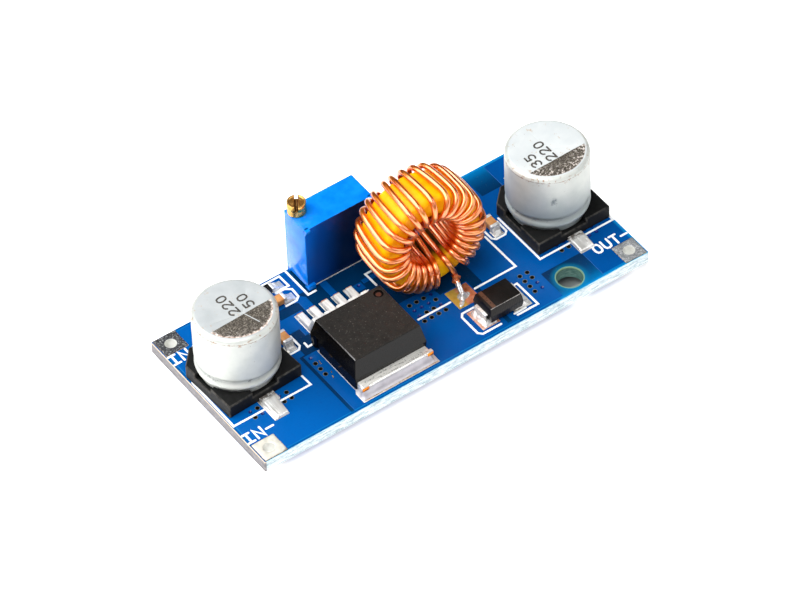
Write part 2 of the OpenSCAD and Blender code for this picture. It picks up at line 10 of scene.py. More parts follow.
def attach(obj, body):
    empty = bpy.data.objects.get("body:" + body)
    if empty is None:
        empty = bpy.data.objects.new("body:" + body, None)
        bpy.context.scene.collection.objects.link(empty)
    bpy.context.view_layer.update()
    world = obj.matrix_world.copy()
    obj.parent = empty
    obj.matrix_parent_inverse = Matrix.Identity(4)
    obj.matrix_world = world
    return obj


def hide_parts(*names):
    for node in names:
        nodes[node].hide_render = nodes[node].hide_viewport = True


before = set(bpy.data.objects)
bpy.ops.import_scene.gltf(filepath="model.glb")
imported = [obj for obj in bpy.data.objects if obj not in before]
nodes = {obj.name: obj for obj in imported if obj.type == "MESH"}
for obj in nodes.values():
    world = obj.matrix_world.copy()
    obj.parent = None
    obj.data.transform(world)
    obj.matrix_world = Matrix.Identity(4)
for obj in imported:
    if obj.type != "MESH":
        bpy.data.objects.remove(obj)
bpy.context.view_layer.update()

MM = 0.001
TAU = 2 * math.pi

# ---------------------------------------------------------------- sizes, mm
Z_BOT, Z_TOP, Z_LAND, Z_SEAT = 1.1, 2.7, 2.75, 2.83
Z_MASK = 2.727                      # solder mask over copper
IN_CAP, OUT_CAP, IN_TURN = (-21.5, 1.7), (21.6, 0.8), 2.9
REG_X = -7.7
TAB_FRONT = -9.98
DIODE = (7.93, -8.1)
COIL_F, COIL_B = (5.61, -4.33), (5.7, 5.9)
MOUNT = (17.3, -9.2)
WIRE = (25.3, 9.92)
SCREW = (-6.9, 10.42)
ROTOR = (-3.02, 10.42, 7.85)
RESISTOR, BYPASS = (-12.05, 9.95), (-12.0, 7.6)
IN_CHIP, OUT_CHIP = (-14.77, 2.3), (14.78, 2.78)
PINS = [-5.76, -3.22, -0.68]
PIN_Y = 9.02
TRIM = (-7.97, 1.53, 6.95, 11.5, 3.1, 12.55)

# the inductor ring's own axes
YAW, LEAN = math.radians(3.3), math.radians(2.5)
CORE = np.array((4.03, 1.57, 10.22))
CX = np.array((math.cos(YAW), -math.sin(YAW), 0.0))
CZ = np.array((-math.sin(YAW) * math.cos(LEAN), -math.cos(YAW) * math.cos(LEAN), math.sin(LEAN)))
CY = np.cross(CZ, CX)


def lead_x(i):
    return REG_X + 1.7 * i


# ---------------------------------------------------------------- mesh tools
def make(name, verts, faces, mats, pick=None, angle=40.0, body="module", hides=(), merge=2e-4):
    """A piece from millimetre points; pick gives each face's material."""
    me = bpy.data.meshes.new(name)
    me.from_pydata([(float(x) * MM, float(y) * MM, float(z) * MM) for x, y, z in verts], [], [list(f) for f in faces])
    for m in mats:
        me.materials.append(m)
    if pick is not None:
        me.polygons.foreach_set("material_index", np.array(pick, dtype=np.int32))
    bm = bmesh.new()
    bm.from_mesh(me)
    bmesh.ops.remove_doubles(bm, verts=bm.verts, dist=merge * MM)
    bmesh.ops.dissolve_degenerate(bm, edges=bm.edges, dist=merge * MM * 0.5)
    loose = [v for v in bm.verts if not v.link_faces]
    if loose:
        bmesh.ops.delete(bm, geom=loose, context="VERTS")
    bmesh.ops.recalc_face_normals(bm, faces=bm.faces)
    bm.to_mesh(me)
    bm.free()
    me.shade_smooth()
    me.set_sharp_from_angle(angle=math.radians(angle))
    ob = bpy.data.objects.new(name, me)
    bpy.context.scene.collection.objects.link(ob)
    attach(ob, body)
    if hides:
        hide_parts(*hides)
    return ob


def flatten(me, least=0.8, turn=42.0):
    """Shade the broad faces flat and let the narrow ones between them bend."""
    near = math.cos(math.radians(turn))
    normals = [n.vector.copy() for n in me.corner_normals]
    broad = {}
    for p in me.polygons:
        if p.area > least * MM * MM:
            for v in p.vertices:
                broad.setdefault(v, []).append(p.normal.copy())
    for p in me.polygons:
        for v, li in zip(p.vertices, p.loop_indices):
            if p.area > least * MM * MM:
                normals[li] = p.normal.copy()
            elif v in broad:
                best = max(broad[v], key=lambda n: n.dot(p.normal))
                if best.dot(p.normal) > near:
                    normals[li] = best
    me.normals_split_custom_set([tuple(n) for n in normals])


def recast(node, width, mat, name, segs=2, angle=25.0, body="module", smooth=32.0, weld=2e-3, shape=0.5, worn=None, pick=None, edge_highlight_faces=None):
    """A copy of a CAD node with its sharp edges, or those that pick chooses, rounded over."""
    bm = bmesh.new()
    bm.from_mesh(nodes[node].data)
    bmesh.ops.remove_doubles(bm, verts=bm.verts, dist=weld * MM)
    bmesh.ops.dissolve_limit(bm, angle_limit=math.radians(1.0), verts=bm.verts, edges=bm.edges)
    for f in bm.faces:
        f.material_index = 0
    if width:
        edges = [e for e in bm.edges if len(e.link_faces) == 2 and e.calc_face_angle(0.0) > math.radians(angle)]
        if pick:
            edges = [e for e in edges if e.is_convex and pick(np.array(e.verts[0].co) / MM, np.array(e.verts[1].co) / MM)]
        out = bmesh.ops.bevel(bm, geom=edges, offset=width * MM, offset_type="OFFSET", segments=segs,
                              profile=shape, affect="EDGES", clamp_overlap=not pick)
        if worn:
            bm.normal_update()
            for f in out["faces"]:
                if not edge_highlight_faces or edge_highlight_faces(f.normal, f.calc_center_median() / MM):
                    f.material_index = 1
    bmesh.ops.recalc_face_normals(bm, faces=bm.faces)
    me = bpy.data.meshes.new(name)
    bm.to_mesh(me)
    bm.free()
    me.materials.append(mat)
    if worn:
        me.materials.append(worn)
    me.shade_smooth()
    me.set_sharp_from_angle(angle=math.radians(smooth))
    if pick:
        flatten(me)
    ob = bpy.data.objects.new(name, me)
    bpy.context.scene.collection.objects.link(ob)
    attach(ob, body)
    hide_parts(node)
    return ob


def foot_edges(c):
    """The outer edges of a capacitor's foot plate, above its underside."""
    def pick(a, b):
        far = min(math.hypot(q[0] - c[0], q[1] - c[1]) for q in (a, b)) > 4.98
        return far and np.linalg.norm(a - b) > 0.4 and (abs(a[2] - b[2]) > 0.5 or min(a[2], b[2]) > Z_SEAT + 0.6)
    return pick


def case_edges(a, b):
    """The rim of the regulator's top and its four upright corners."""
    def corner(q):
        return abs(abs(q[0] - REG_X) - 4.76) < 0.45 and abs(abs(q[1] + 4.43) - 4.23) < 0.5
    if np.linalg.norm(a - b) < 1.0:
        return False
    return min(a[2], b[2]) > Z_SEAT + 4.3 or (abs(a[2] - b[2]) > 0.5 and corner(a) and corner(b))


class Bag:
    """Gathers several shapes into one piece."""

    def __init__(self):
        self.v, self.f, self.m = [], [], []

    def add(self, verts, faces, mat=0):
        n = len(self.v)
        self.v += [tuple(p) for p in verts]
        self.f += [tuple(i + n for i in f) for f in faces]
        self.m += list(mat) if isinstance(mat, (list, tuple, np.ndarray)) else [mat] * len(faces)
        return self


def ccw(poly):
    p = [(float(a), float(b)) for a, b in poly]
    s = sum(p[i][0] * p[(i + 1) % len(p)][1] - p[(i + 1) % len(p)][0] * p[i][1] for i in range(len(p)))
    return p if s > 0 else p[::-1]


def grow(poly, d):
    """The outline moved outward by d, with mitred corners."""
    p = np.array(ccw(poly))
    e = np.roll(p, -1, 0) - p
    e /= np.maximum(np.linalg.norm(e, axis=1), 1e-9)[:, None]
    n = np.stack([e[:, 1], -e[:, 0]], 1)
    a = np.roll(n, 1, 0)
    k = np.maximum(1 + (a * n).sum(1), 0.35)
    return [tuple(q) for q in p + d * (a + n) / k[:, None]]


def rect(x0, x1, y0, y1, r=0.0, n=4):
    if r <= 0:
        return [(x0, y0), (x1, y0), (x1, y1), (x0, y1)]
    out = []
    for cx, cy, a in ((x1 - r, y0 + r, -90), (x1 - r, y1 - r, 0), (x0 + r, y1 - r, 90), (x0 + r, y0 + r, 180)):
        for i in range(n + 1):
            t = math.radians(a + 90 * i / n)
            out.append((cx + r * math.cos(t), cy + r * math.sin(t)))
    return out


def circle(x, y, r, n=32):
    return [(x + r * math.cos(TAU * i / n), y + r * math.sin(TAU * i / n)) for i in range(n)]


def turned(poly, c, deg):
    s, k = math.sin(math.radians(deg)), math.cos(math.radians(deg))
    return [(c[0] + (x - c[0]) * k - (y - c[1]) * s, c[1] + (x - c[0]) * s + (y - c[1]) * k) for x, y in poly]


def wobble(poly, amp, seed, step=0.22):
    """The outline with a small hand-made unevenness."""
    p = np.array(ccw(poly))
    out = []
    for i in range(len(p)):
        a, b = p[i], p[(i + 1) % len(p)]
        n = max(1, int(np.linalg.norm(b - a) / step))
        out += [a + (b - a) * k / n for k in range(n)]
    q = np.array(out)
    t = np.roll(q, -1, 0) - np.roll(q, 1, 0)
    t /= np.maximum(np.linalg.norm(t, axis=1), 1e-9)[:, None]
    s = np.arange(len(q)) / len(q) * TAU
    w = sum(np.sin(s * k + seed * 1.7 * k) / (1 + 0.25 * k) for k in (3, 5, 8, 13))
    q = q + np.stack([t[:, 1], -t[:, 0]], 1) * (amp * (w / 1.6 - 0.5))[:, None]
    return [tuple(v) for v in q]


def sd_poly(P, poly):
    """Signed distance to an outline, negative inside."""
    P = np.asarray(P, float)
    poly = np.asarray(poly, float)
    d = np.full(len(P), 1e18)
    inside = np.zeros(len(P), bool)
    for i in range(len(poly)):
        a, b = poly[i], poly[(i + 1) % len(poly)]
        ab, ap = b - a, P - a
        t = np.clip((ap @ ab) / max(ab @ ab, 1e-18), 0, 1)
        q = ap - t[:, None] * ab
        d = np.minimum(d, (q * q).sum(1))
        dy = b[1] - a[1]
        if dy:
            hit = (a[1] > P[:, 1]) != (b[1] > P[:, 1])
            inside ^= hit & (P[:, 0] < (b[0] - a[0]) * (P[:, 1] - a[1]) / dy + a[0])
    d = np.sqrt(d)
    return np.where(inside, -d, d)


def sd_path(P, pts):
    P = np.asarray(P, float)
    d = np.full(len(P), 1e18)
    for a, b in zip(pts[:-1], pts[1:]):
        a, b = np.array(a, float), np.array(b, float)
        ab, ap = b - a, P - a
        t = np.clip((ap @ ab) / max(ab @ ab, 1e-18), 0, 1)
        q = ap - t[:, None] * ab
        d = np.minimum(d, (q * q).sum(1))
    return np.sqrt(d)


def sd_box(P, x0, x1, y0, y1):
    P = np.asarray(P, float)
    q = np.stack([np.maximum(x0 - P[:, 0], P[:, 0] - x1), np.maximum(y0 - P[:, 1], P[:, 1] - y1)], 1)
    return np.where((q < 0).all(1), q.max(1), np.sqrt((np.maximum(q, 0) ** 2).sum(1)))


def sd_region(P, outer, holes):
    d = sd_poly(P, outer)
    for h in holes:
        d = np.maximum(d, -sd_poly(P, h))
    return d


def cdt(loops, points=(), paths=()):
    vs, es = [], []
    for loop in loops:
        n0, n = len(vs), len(loop)
        vs += [Vector((float(p[0]), float(p[1]))) for p in loop]
        es += [(n0 + i, n0 + (i + 1) % n) for i in range(n)]
    for path in paths:
        n0 = len(vs)
        vs += [Vector((float(p[0]), float(p[1]))) for p in path]
        es += [(n0 + i, n0 + i + 1) for i in range(len(path) - 1)]
    vs += [Vector((float(p[0]), float(p[1]))) for p in points]
    out = delaunay_2d_cdt(vs, es, [], 0, 1e-5)
    return np.array([(v.x, v.y) for v in out[0]]), np.array([list(f) for f in out[2] if len(f) == 3], dtype=int)


def slab(outer, holes=(), top=None, bottom=2.69, step=0.3, rims=(0.05, 0.12, 0.22), cuts=(), paths=()):
    """A closed sheet: top(P, d) gives its upper face from the points and their distance to the outline."""
    outer = ccw(outer)
    holes = [ccw(h) for h in holes]
    loops = [outer] + holes
    for r in rims:
        loops.append(grow(outer, -r))
        loops += [grow(h, r) for h in holes]
    loops += list(cuts)
    G = []
    if step:
        o = np.array(outer)
        lo, hi = o.min(0), o.max(0)
        ys = np.arange(lo[1] + step / 2, hi[1], step * 0.87)
        G = np.array([(x + (step / 2 if k % 2 else 0), y) for k, y in enumerate(ys)
                      for x in np.arange(lo[0] + step / 4, hi[0], step)])
        if len(G):
            G = G[sd_region(G, outer, holes) < -((rims[-1] if rims else 0) + 0.4 * step)]
    V, F = cdt(loops, G, paths)
    F = F[sd_region(V[F].mean(1), outer, holes) < 0]
    d = np.maximum(-sd_region(V, outer, holes), 0)
    z1 = np.full(len(V), float(top)) if not callable(top) else top(V, d)
    z0 = np.full(len(V), float(bottom)) if not callable(bottom) else bottom(V, d)
    n = len(V)
    verts = [(x, y, z) for (x, y), z in zip(V, z1)] + [(x, y, z) for (x, y), z in zip(V, z0)]
    faces = [tuple(f) for f in F] + [tuple(int(i) + n for i in f[::-1]) for f in F]
    seen = {}
    for f in F:
        for a, b in ((f[0], f[1]), (f[1], f[2]), (f[2], f[0])):
            seen[(a, b)] = seen.get((a, b), 0) + 1
    for a, b in seen:
        if (b, a) not in seen:
            faces.append((int(b), int(a), int(a) + n, int(b) + n))
    return verts, faces


def ribbon(pts, w, cap=7):
    """The outline of a drawn line with round ends."""
    p = np.array(pts, float)
    e = np.diff(p, axis=0)
    e /= np.maximum(np.linalg.norm(e, axis=1), 1e-9)[:, None]
    n = np.stack([-e[:, 1], e[:, 0]], 1)
    m = [n[0]]
    for i in range(1, len(p) - 1):
        m.append((n[i - 1] + n[i]) / max(1 + float(n[i - 1] @ n[i]), 0.3))
    m.append(n[-1])
    m = np.array(m)
    left, right = p + m * w / 2, p - m * w / 2
    a1 = math.atan2(n[-1][1], n[-1][0])
    a0 = math.atan2(-n[0][1], -n[0][0])
    end = [tuple(p[-1] + w / 2 * np.array((math.cos(a1 - math.pi * k / cap), math.sin(a1 - math.pi * k / cap)))) for k in range(1, cap)]
    start = [tuple(p[0] + w / 2 * np.array((math.cos(a0 - math.pi * k / cap), math.sin(a0 - math.pi * k / cap)))) for k in range(1, cap)]
    return ccw([tuple(v) for v in left] + end + [tuple(v) for v in right[::-1]] + start)


def curve(pts, n=6):
    """Catmull-Rom points through a drawn line."""
    p = [np.array(q, float) for q in pts]
    p = [2 * p[0] - p[1]] + p + [2 * p[-1] - p[-2]]
    out = []
    for i in range(1, len(p) - 2):
        for k in range(n):
            t = k / n
            out.append(0.5 * (2 * p[i] + (p[i + 1] - p[i - 1]) * t + (2 * p[i - 1] - 5 * p[i] + 4 * p[i + 1] - p[i + 2]) * t * t
                              + (3 * p[i] - p[i - 1] - 3 * p[i + 1] + p[i + 2]) * t ** 3))
    out.append(p[-2])
    return [tuple(q) for q in out]


def lathe(profile, n=128, closed=False):
    """Turned about the Z axis through the origin; ends at radius 0 close to a point."""
    verts, rows = [], []
    for r, z in profile:
        if r < 1e-6:
            rows.append([len(verts)])
            verts.append((0.0, 0.0, z))
        else:
            rows.append(list(range(len(verts), len(verts) + n)))
            verts += [(r * math.cos(TAU * i / n), r * math.sin(TAU * i / n), z) for i in range(n)]
    faces = []
    pairs = list(zip(rows[:-1], rows[1:])) + ([(rows[-1], rows[0])] if closed else [])
    for a, b in pairs:
        for i in range(n):
            j = (i + 1) % n
            if len(a) == 1 and len(b) == 1:
                continue
            if len(a) == 1:
                faces.append((a[0], b[j], b[i]))
            elif len(b) == 1:
                faces.append((a[i], a[j], b[0]))
            else:
                faces.append((a[i], a[j], b[j], b[i]))
    return verts, faces


def moved(verts, dx, dy, dz=0.0, deg=0.0):
    s, k = math.sin(math.radians(deg)), math.cos(math.radians(deg))
    return [(x * k - y * s + dx, x * s + y * k + dy, z + dz) for x, y, z in verts]


def sweep(path, radius, sides=14, caps=True):
    """A round wire along a path of points."""
    P = np.array(path, float)
    R = np.broadcast_to(np.asarray(radius, float), (len(P),))
    T = np.gradient(P, axis=0)
    T /= np.linalg.norm(T, axis=1)[:, None]
    u = np.cross(T[0], (0.3, 0.9, 0.2))
    u /= np.linalg.norm(u)
    verts = []
    for i in range(len(P)):
        u = u - (u @ T[i]) * T[i]
        u /= np.linalg.norm(u)
        v = np.cross(T[i], u)
        for k in range(sides):
            a = TAU * k / sides
            verts.append(P[i] + R[i] * (math.cos(a) * u + math.sin(a) * v))
    faces = []
    for i in range(len(P) - 1):
        for k in range(sides):
            a, b = i * sides + k, i * sides + (k + 1) % sides
            faces.append((a, b, b + sides, a + sides))
    if caps:
        faces.append(tuple(range(sides))[::-1])
        n = (len(P) - 1) * sides
        faces.append(tuple(range(n, n + sides)))
    return verts, faces


def lump(c, r, seed, squash=(1, 1, 1), rough=0.18, n=14):
    """A small uneven bead."""
    verts, faces = [], []
    for i in range(n + 1):
        t = math.pi * i / n
        for k in range(2 * n):
            p = TAU * k / (2 * n)
            d = np.array((math.sin(t) * math.cos(p), math.sin(t) * math.sin(p), math.cos(t)))
            w = 1 + rough * (math.sin(3 * d[0] + seed) * math.cos(4 * d[1] + 2 * seed) + 0.5 * math.sin(7 * d[2] + 5 * d[0] + seed))
            verts.append(tuple(np.array(c) + r * w * d * np.array(squash)))
    for i in range(n):
        for k in range(2 * n):
            a, b = i * 2 * n + k, i * 2 * n + (k + 1) % (2 * n)
            faces.append((a, b, b + 2 * n, a + 2 * n))
    return verts, faces


# ---------------------------------------------------------------- materials
def srgb(r, g, b):
    def lin(c):
        c /= 255.0
        return c / 12.92 if c <= 0.04045 else ((c + 0.055) / 1.055) ** 2.4
    return (lin(r), lin(g), lin(b), 1.0)


class Shade:
    def __init__(self, name):
        self.m = bpy.data.materials.new(name)
        self.m.use_nodes = True
        self.t = self.m.node_tree
        self.t.nodes.clear()
        out = self.t.nodes.new("ShaderNodeOutputMaterial")
        self.b = self.t.nodes.new("ShaderNodeBsdfPrincipled")
        self.t.links.new(self.b.outputs[0], out.inputs[0])
        self.co = self.t.nodes.new("ShaderNodeTexCoord").outputs["Object"]
        self._xyz = None
        self._nrm = None

    def feed(self, sock, v):
        if isinstance(v, bpy.types.NodeSocket):
            self.t.links.new(v, sock)
        else:
            sock.default_value = v

    def set(self, **kw):
        names = dict(base="Base Color", metal="Metallic", rough="Roughness", spec="Specular IOR Level", ior="IOR",
                     coat="Coat Weight", coat_rough="Coat Roughness", normal="Normal", sss="Subsurface Weight",
                     sheen="Sheen Weight", glow="Emission Color", glow_at="Emission Strength", aniso="Anisotropic",
                     tint="Specular Tint", through="Transmission Weight", coat_ior="Coat IOR")
        for k, v in kw.items():
            self.feed(self.b.inputs[names[k]], v)
        return self

    def xyz(self, i):
        if self._xyz is None:
            n = self.t.nodes.new("ShaderNodeSeparateXYZ")
            self.t.links.new(self.co, n.inputs[0])
            self._xyz = n
        return self._xyz.outputs[i]

    def face(self, i):
        """A component of the surface's own normal, in the part's frame."""
        if self._nrm is None:
            g = self.t.nodes.new("ShaderNodeTexCoord")
            n = self.t.nodes.new("ShaderNodeSeparateXYZ")
            self.t.links.new(g.outputs["Normal"], n.inputs[0])
            self._nrm = n
        return self._nrm.outputs[i]

    def math(self, op, a, b=0.0, clamp=False):
        n = self.t.nodes.new("ShaderNodeMath")
        n.operation, n.use_clamp = op, clamp
        self.feed(n.inputs[0], a)
        self.feed(n.inputs[1], b)
        return n.outputs[0]

    def add(self, a, b): return self.math("ADD", a, b)
    def sub(self, a, b): return self.math("SUBTRACT", a, b)
    def mul(self, a, b): return self.math("MULTIPLY", a, b)
    def least(self, a, b): return self.math("MINIMUM", a, b)
    def most(self, a, b): return self.math("MAXIMUM", a, b)

    def span(self, v, lo, hi, a=0.0, b=1.0, smooth=True):
        n = self.t.nodes.new("ShaderNodeMapRange")
        n.interpolation_type = "SMOOTHSTEP" if smooth else "LINEAR"
        for k, x in zip(("From Min", "From Max", "To Min", "To Max"), (lo, hi, a, b)):
            n.inputs[k].default_value = x
        self.feed(n.inputs["Value"], v)
        return n.outputs[0]

    def stretch(self, sx, sy, sz, co=None):
        n = self.t.nodes.new("ShaderNodeVectorMath")
        n.operation = "MULTIPLY"
        self.feed(n.inputs[0], co or self.co)
        n.inputs[1].default_value = (sx, sy, sz)
        return n.outputs[0]

    def shift(self, dx, dy, dz, co=None):
        n = self.t.nodes.new("ShaderNodeVectorMath")
        n.operation = "ADD"
        self.feed(n.inputs[0], co or self.co)
        n.inputs[1].default_value = (float(dx), float(dy), float(dz))
        return n.outputs[0]

    def length(self, co):
        n = self.t.nodes.new("ShaderNodeVectorMath")
        n.operation = "LENGTH"
        self.feed(n.inputs[0], co)
        return n.outputs["Value"]

    def noise(self, scale, detail=3.0, rough=0.55, co=None, warp=0.0):
        n = self.t.nodes.new("ShaderNodeTexNoise")
        self.feed(n.inputs["Vector"], co or self.co)
        n.inputs["Scale"].default_value = scale
        n.inputs["Detail"].default_value = detail
        n.inputs["Roughness"].default_value = rough
        n.inputs["Distortion"].default_value = warp
        return n.outputs[0]

    def cells(self, scale, co=None, what="Distance"):
        n = self.t.nodes.new("ShaderNodeTexVoronoi")
        self.feed(n.inputs["Vector"], co or self.co)
        n.inputs["Scale"].default_value = scale
        return n.outputs[what]

    def ramp(self, fac, stops, ease=False):
        n = self.t.nodes.new("ShaderNodeValToRGB")
        n.color_ramp.interpolation = "EASE" if ease else "LINEAR"
        el = n.color_ramp.elements
        while len(el) < len(stops):
            el.new(0.5)
        for e, (p, c) in zip(el, stops):
            e.position = p
            e.color = c if len(c) == 4 else tuple(c) + (1.0,)
        self.feed(n.inputs[0], fac)
        return n.outputs[0]

    def mix(self, fac, a, b, mode="MIX"):
        n = self.t.nodes.new("ShaderNodeMix")
        n.data_type, n.blend_type = "RGBA", mode
        self.feed(n.inputs[0], fac)
        self.feed(n.inputs[6], a)
        self.feed(n.inputs[7], b)
        return n.outputs[2]

    def bump(self, height, strength=0.2, dist=0.00005, under=None):
        n = self.t.nodes.new("ShaderNodeBump")
        n.inputs["Strength"].default_value = strength
        n.inputs["Distance"].default_value = dist
        self.feed(n.inputs["Height"], height)
        if under is not None:
            self.feed(n.inputs["Normal"], under)
        return n.outputs[0]


def mottled(name, dark, light, scale=900, rough=(0.3, 0.45), metal=0.0, spec=0.5, grain=(9000, 0.15, 0.00002), detail=4.0, **kw):
    """A surface of two near tones with a fine grain."""
    s = Shade(name)
    n = s.noise(scale, detail)
    f = s.noise(grain[0], 2.0)
    s.set(base=s.ramp(n, [(0.3, dark), (0.7, light)]), metal=metal, spec=spec,
          rough=s.span(s.add(s.mul(n, 0.6), s.mul(f, 0.4)), 0.3, 0.7, rough[0], rough[1]),
          normal=s.bump(f, grain[1], grain[2]))
    if kw:
        s.set(**kw)
    return s


def edge_distance(s):
    """Distance from the board's outline, in metres."""
    return s.least(s.sub(0.027, s.math("ABSOLUTE", s.xyz(0))), s.sub(0.0115, s.math("ABSOLUTE", s.xyz(1))))


def hole_distance(s):
    c = s.stretch(1, 1, 0, s.shift(-MOUNT[0] * MM, -MOUNT[1] * MM, 0))
    return s.sub(s.length(c), 0.0016)


def mask_over_copper():
    s = Shade("mask_over_copper")
    big = s.noise(95, 2.0)
    fine = s.noise(2600, 4.0)
    tone = s.ramp(big, [(0.3, srgb(0, 61, 122)), (0.52, srgb(0, 68, 134)), (0.72, srgb(0, 76, 146))])
    tone = s.mix(s.mul(s.span(s.xyz(0), -0.022, -0.004, 1.0, 0.0), 0.6), tone, srgb(0, 90, 168))
    dust = s.span(s.cells(1500), 0.05, 0.075, 1.0, 0.0)
    dust = s.mul(dust, s.span(s.noise(700, 1.0), 0.62, 0.66))
    tone = s.mix(s.mul(s.span(fine, 0.5, 0.8), 0.2), tone, srgb(0, 50, 108))
    tone = s.mix(s.mul(dust, 0.5), tone, srgb(150, 190, 220))
    # painted light: a lighter blue line along the board's edge, standing for light glowing through the laminate
    rim = s.span(s.add(edge_distance(s), s.mul(s.sub(s.noise(1700, 2.0), 0.5), 0.00004)), 0.00041, 0.00048, 1.0, 0.0)
    tone = s.mix(s.mul(rim, 0.55), tone, srgb(10, 116, 182))
    s.set(base=tone, spec=0.1, rough=s.span(fine, 0.3, 0.7, 0.16, 0.26),
          normal=s.bump(s.add(s.mul(s.noise(420, 2.0), 0.6), s.mul(fine, 0.3)), 0.05, 0.00003))
    return s.m


def mask_over_laminate():
    s = Shade("mask_over_laminate")
    edge = s.add(edge_distance(s), s.mul(s.sub(s.noise(900, 2.0), 0.5), 0.0002))
    fine = s.noise(2600, 4.0)
    # painted light: near the board's edge the mask over bare laminate is painted bright cyan, fading to navy inland,
    # standing for light glowing through the laminate; left of x = 14 mm there is only a dimmer band
    tone = s.ramp(s.span(edge, 0.0, 0.0042, 0.0, 1.0, smooth=False),
                  [(0.0, srgb(48, 150, 196)), (0.035, srgb(10, 124, 184)), (0.1, srgb(0, 98, 156)), (0.34, srgb(0, 70, 118)), (0.66, srgb(0, 49, 90)), (1.0, srgb(0, 39, 76))])
    strip = s.mix(s.span(edge, 0.0004, 0.00055), srgb(0, 68, 130), srgb(0, 42, 80))
    tone = s.mix(s.span(s.xyz(0), 0.014, 0.0148, 0.85, 0.0), tone, strip)
    tone = s.mix(s.mul(s.span(fine, 0.45, 0.8), 0.22), tone, srgb(0, 30, 64))
    bore = hole_distance(s)
    # painted light: a cyan glow in the mask around the mounting hole
    tone = s.mix(s.mul(s.span(bore, 0.0001, 0.0009, 1.0, 0.0), 0.5), tone, srgb(0, 112, 150))
    tone = s.mix(s.mul(s.span(s.add(bore, s.mul(s.sub(s.noise(1900, 2.0), 0.5), 0.00008)), 0.00006, 0.0002, 1.0, 0.0), 0.85), tone, srgb(118, 150, 116))
    s.set(base=tone, spec=0.1, rough=s.span(fine, 0.3, 0.7, 0.18, 0.28),
          normal=s.bump(s.add(s.mul(s.cells(1900), 0.3), s.mul(fine, 0.3)), 0.05, 0.00003))
    return s.m


def laminate_edge():
    s = Shade("laminate_edge")
    long_ = s.noise(1.0, 4.0, 0.6, s.stretch(900, 900, 5200))
    short = s.noise(1.0, 3.0, 0.7, s.stretch(3800, 3800, 9000))
    body = s.ramp(s.add(s.mul(long_, 0.6), s.mul(short, 0.4)),
                  [(0.36, srgb(126, 152, 164)), (0.46, srgb(184, 200, 206)), (0.6, srgb(234, 236, 236))])
    end = s.span(s.xyz(0), -0.0269, -0.0267, 1.0, 0.0)
    warm = s.ramp(s.add(s.mul(long_, 0.5), s.mul(short, 0.5)), [(0.36, srgb(94, 91, 93)), (0.5, srgb(124, 120, 122)), (0.64, srgb(152, 147, 148))])
    # painted shade: the end face is darker towards its bottom
    warm = s.mix(s.span(s.xyz(2), 0.00125, 0.00165, 0.35, 0.0), warm, srgb(84, 84, 90))
    body = s.mix(end, body, warm)
    high = s.span(s.xyz(2), 0.0025, 0.00268)
    body = s.mix(s.mul(high, s.span(end, 0.0, 1.0, 0.4, 0.0)), body, srgb(96, 186, 214))
    body = s.mix(s.mul(s.span(s.xyz(2), 0.00252, 0.0026), end), body, srgb(208, 190, 162))
    streak = s.mul(s.span(short, 0.56, 0.68), s.span(s.xyz(2), 0.0011, 0.0025))
    body = s.mix(s.mul(streak, 0.5), body, srgb(132, 164, 178))
    # painted light: the long edges glow faintly, standing for light coming through the laminate
    glow = s.mul(s.sub(1.0, end), 0.07)
    s.set(base=body, rough=s.span(short, 0.3, 0.7, 0.5, 0.8), spec=0.3, glow=body, glow_at=glow,
          normal=s.bump(s.add(s.mul(long_, 0.5), s.mul(short, 0.6)), 0.5, 0.00008))
    return s.m


def drilled_laminate():
    s = Shade("drilled_laminate")
    n = s.noise(1.0, 4.0, 0.6, s.stretch(1500, 1500, 7000))
    # the laminate's green, painted darker as shade inside the hole
    tone = s.ramp(n, [(0.3, srgb(44, 84, 80)), (0.6, srgb(92, 128, 118)), (0.8, srgb(150, 172, 158))])
    tone = s.mix(s.span(s.xyz(2), 0.0024, 0.00268), tone, srgb(140, 166, 128))
    s.set(base=tone, rough=s.span(n, 0.3, 0.7, 0.45, 0.7), spec=0.35, normal=s.bump(n, 0.4, 0.00006))
    return s.m


def via_barrel():
    s = Shade("via_barrel")
    n = s.noise(3000, 3.0)
    # painted shade: the barrel is painted near black, standing for the shade inside the via
    s.set(base=s.ramp(n, [(0.3, srgb(10, 8, 10)), (0.75, srgb(46, 34, 26))]), metal=0.2,
          rough=s.span(n, 0.3, 0.7, 0.45, 0.7), spec=0.25, normal=s.bump(n, 0.2, 0.00002))
    return s.m


def tented_via():
    s = Shade("tented_via")
    n = s.noise(4200, 3.0)
    s.set(base=s.ramp(n, [(0.3, srgb(0, 22, 84)), (0.75, srgb(18, 46, 124))]), spec=0.5,
          rough=s.span(n, 0.3, 0.7, 0.08, 0.16), normal=s.bump(n, 0.1, 0.00002))
    return s.m


def via_ring():
    s = Shade("via_ring")
    n = s.noise(4200, 3.0)
    s.set(base=s.ramp(n, [(0.35, srgb(44, 74, 84)), (0.7, srgb(126, 122, 86))]), spec=0.4,
          rough=s.span(n, 0.3, 0.7, 0.25, 0.4), normal=s.bump(n, 0.15, 0.00002))
    return s.m


def silk_ink():
    s = Shade("silk_ink")
    n = s.noise(5200, 4.0)
    big = s.noise(600, 2.0)
    s.set(base=s.ramp(s.add(s.mul(n, 0.6), s.mul(big, 0.4)), [(0.28, srgb(206, 214, 220)), (0.5, srgb(244, 246, 246))]),
          rough=s.span(n, 0.3, 0.7, 0.45, 0.65), spec=0.35, normal=s.bump(n, 0.3, 0.00003))
    return s.m


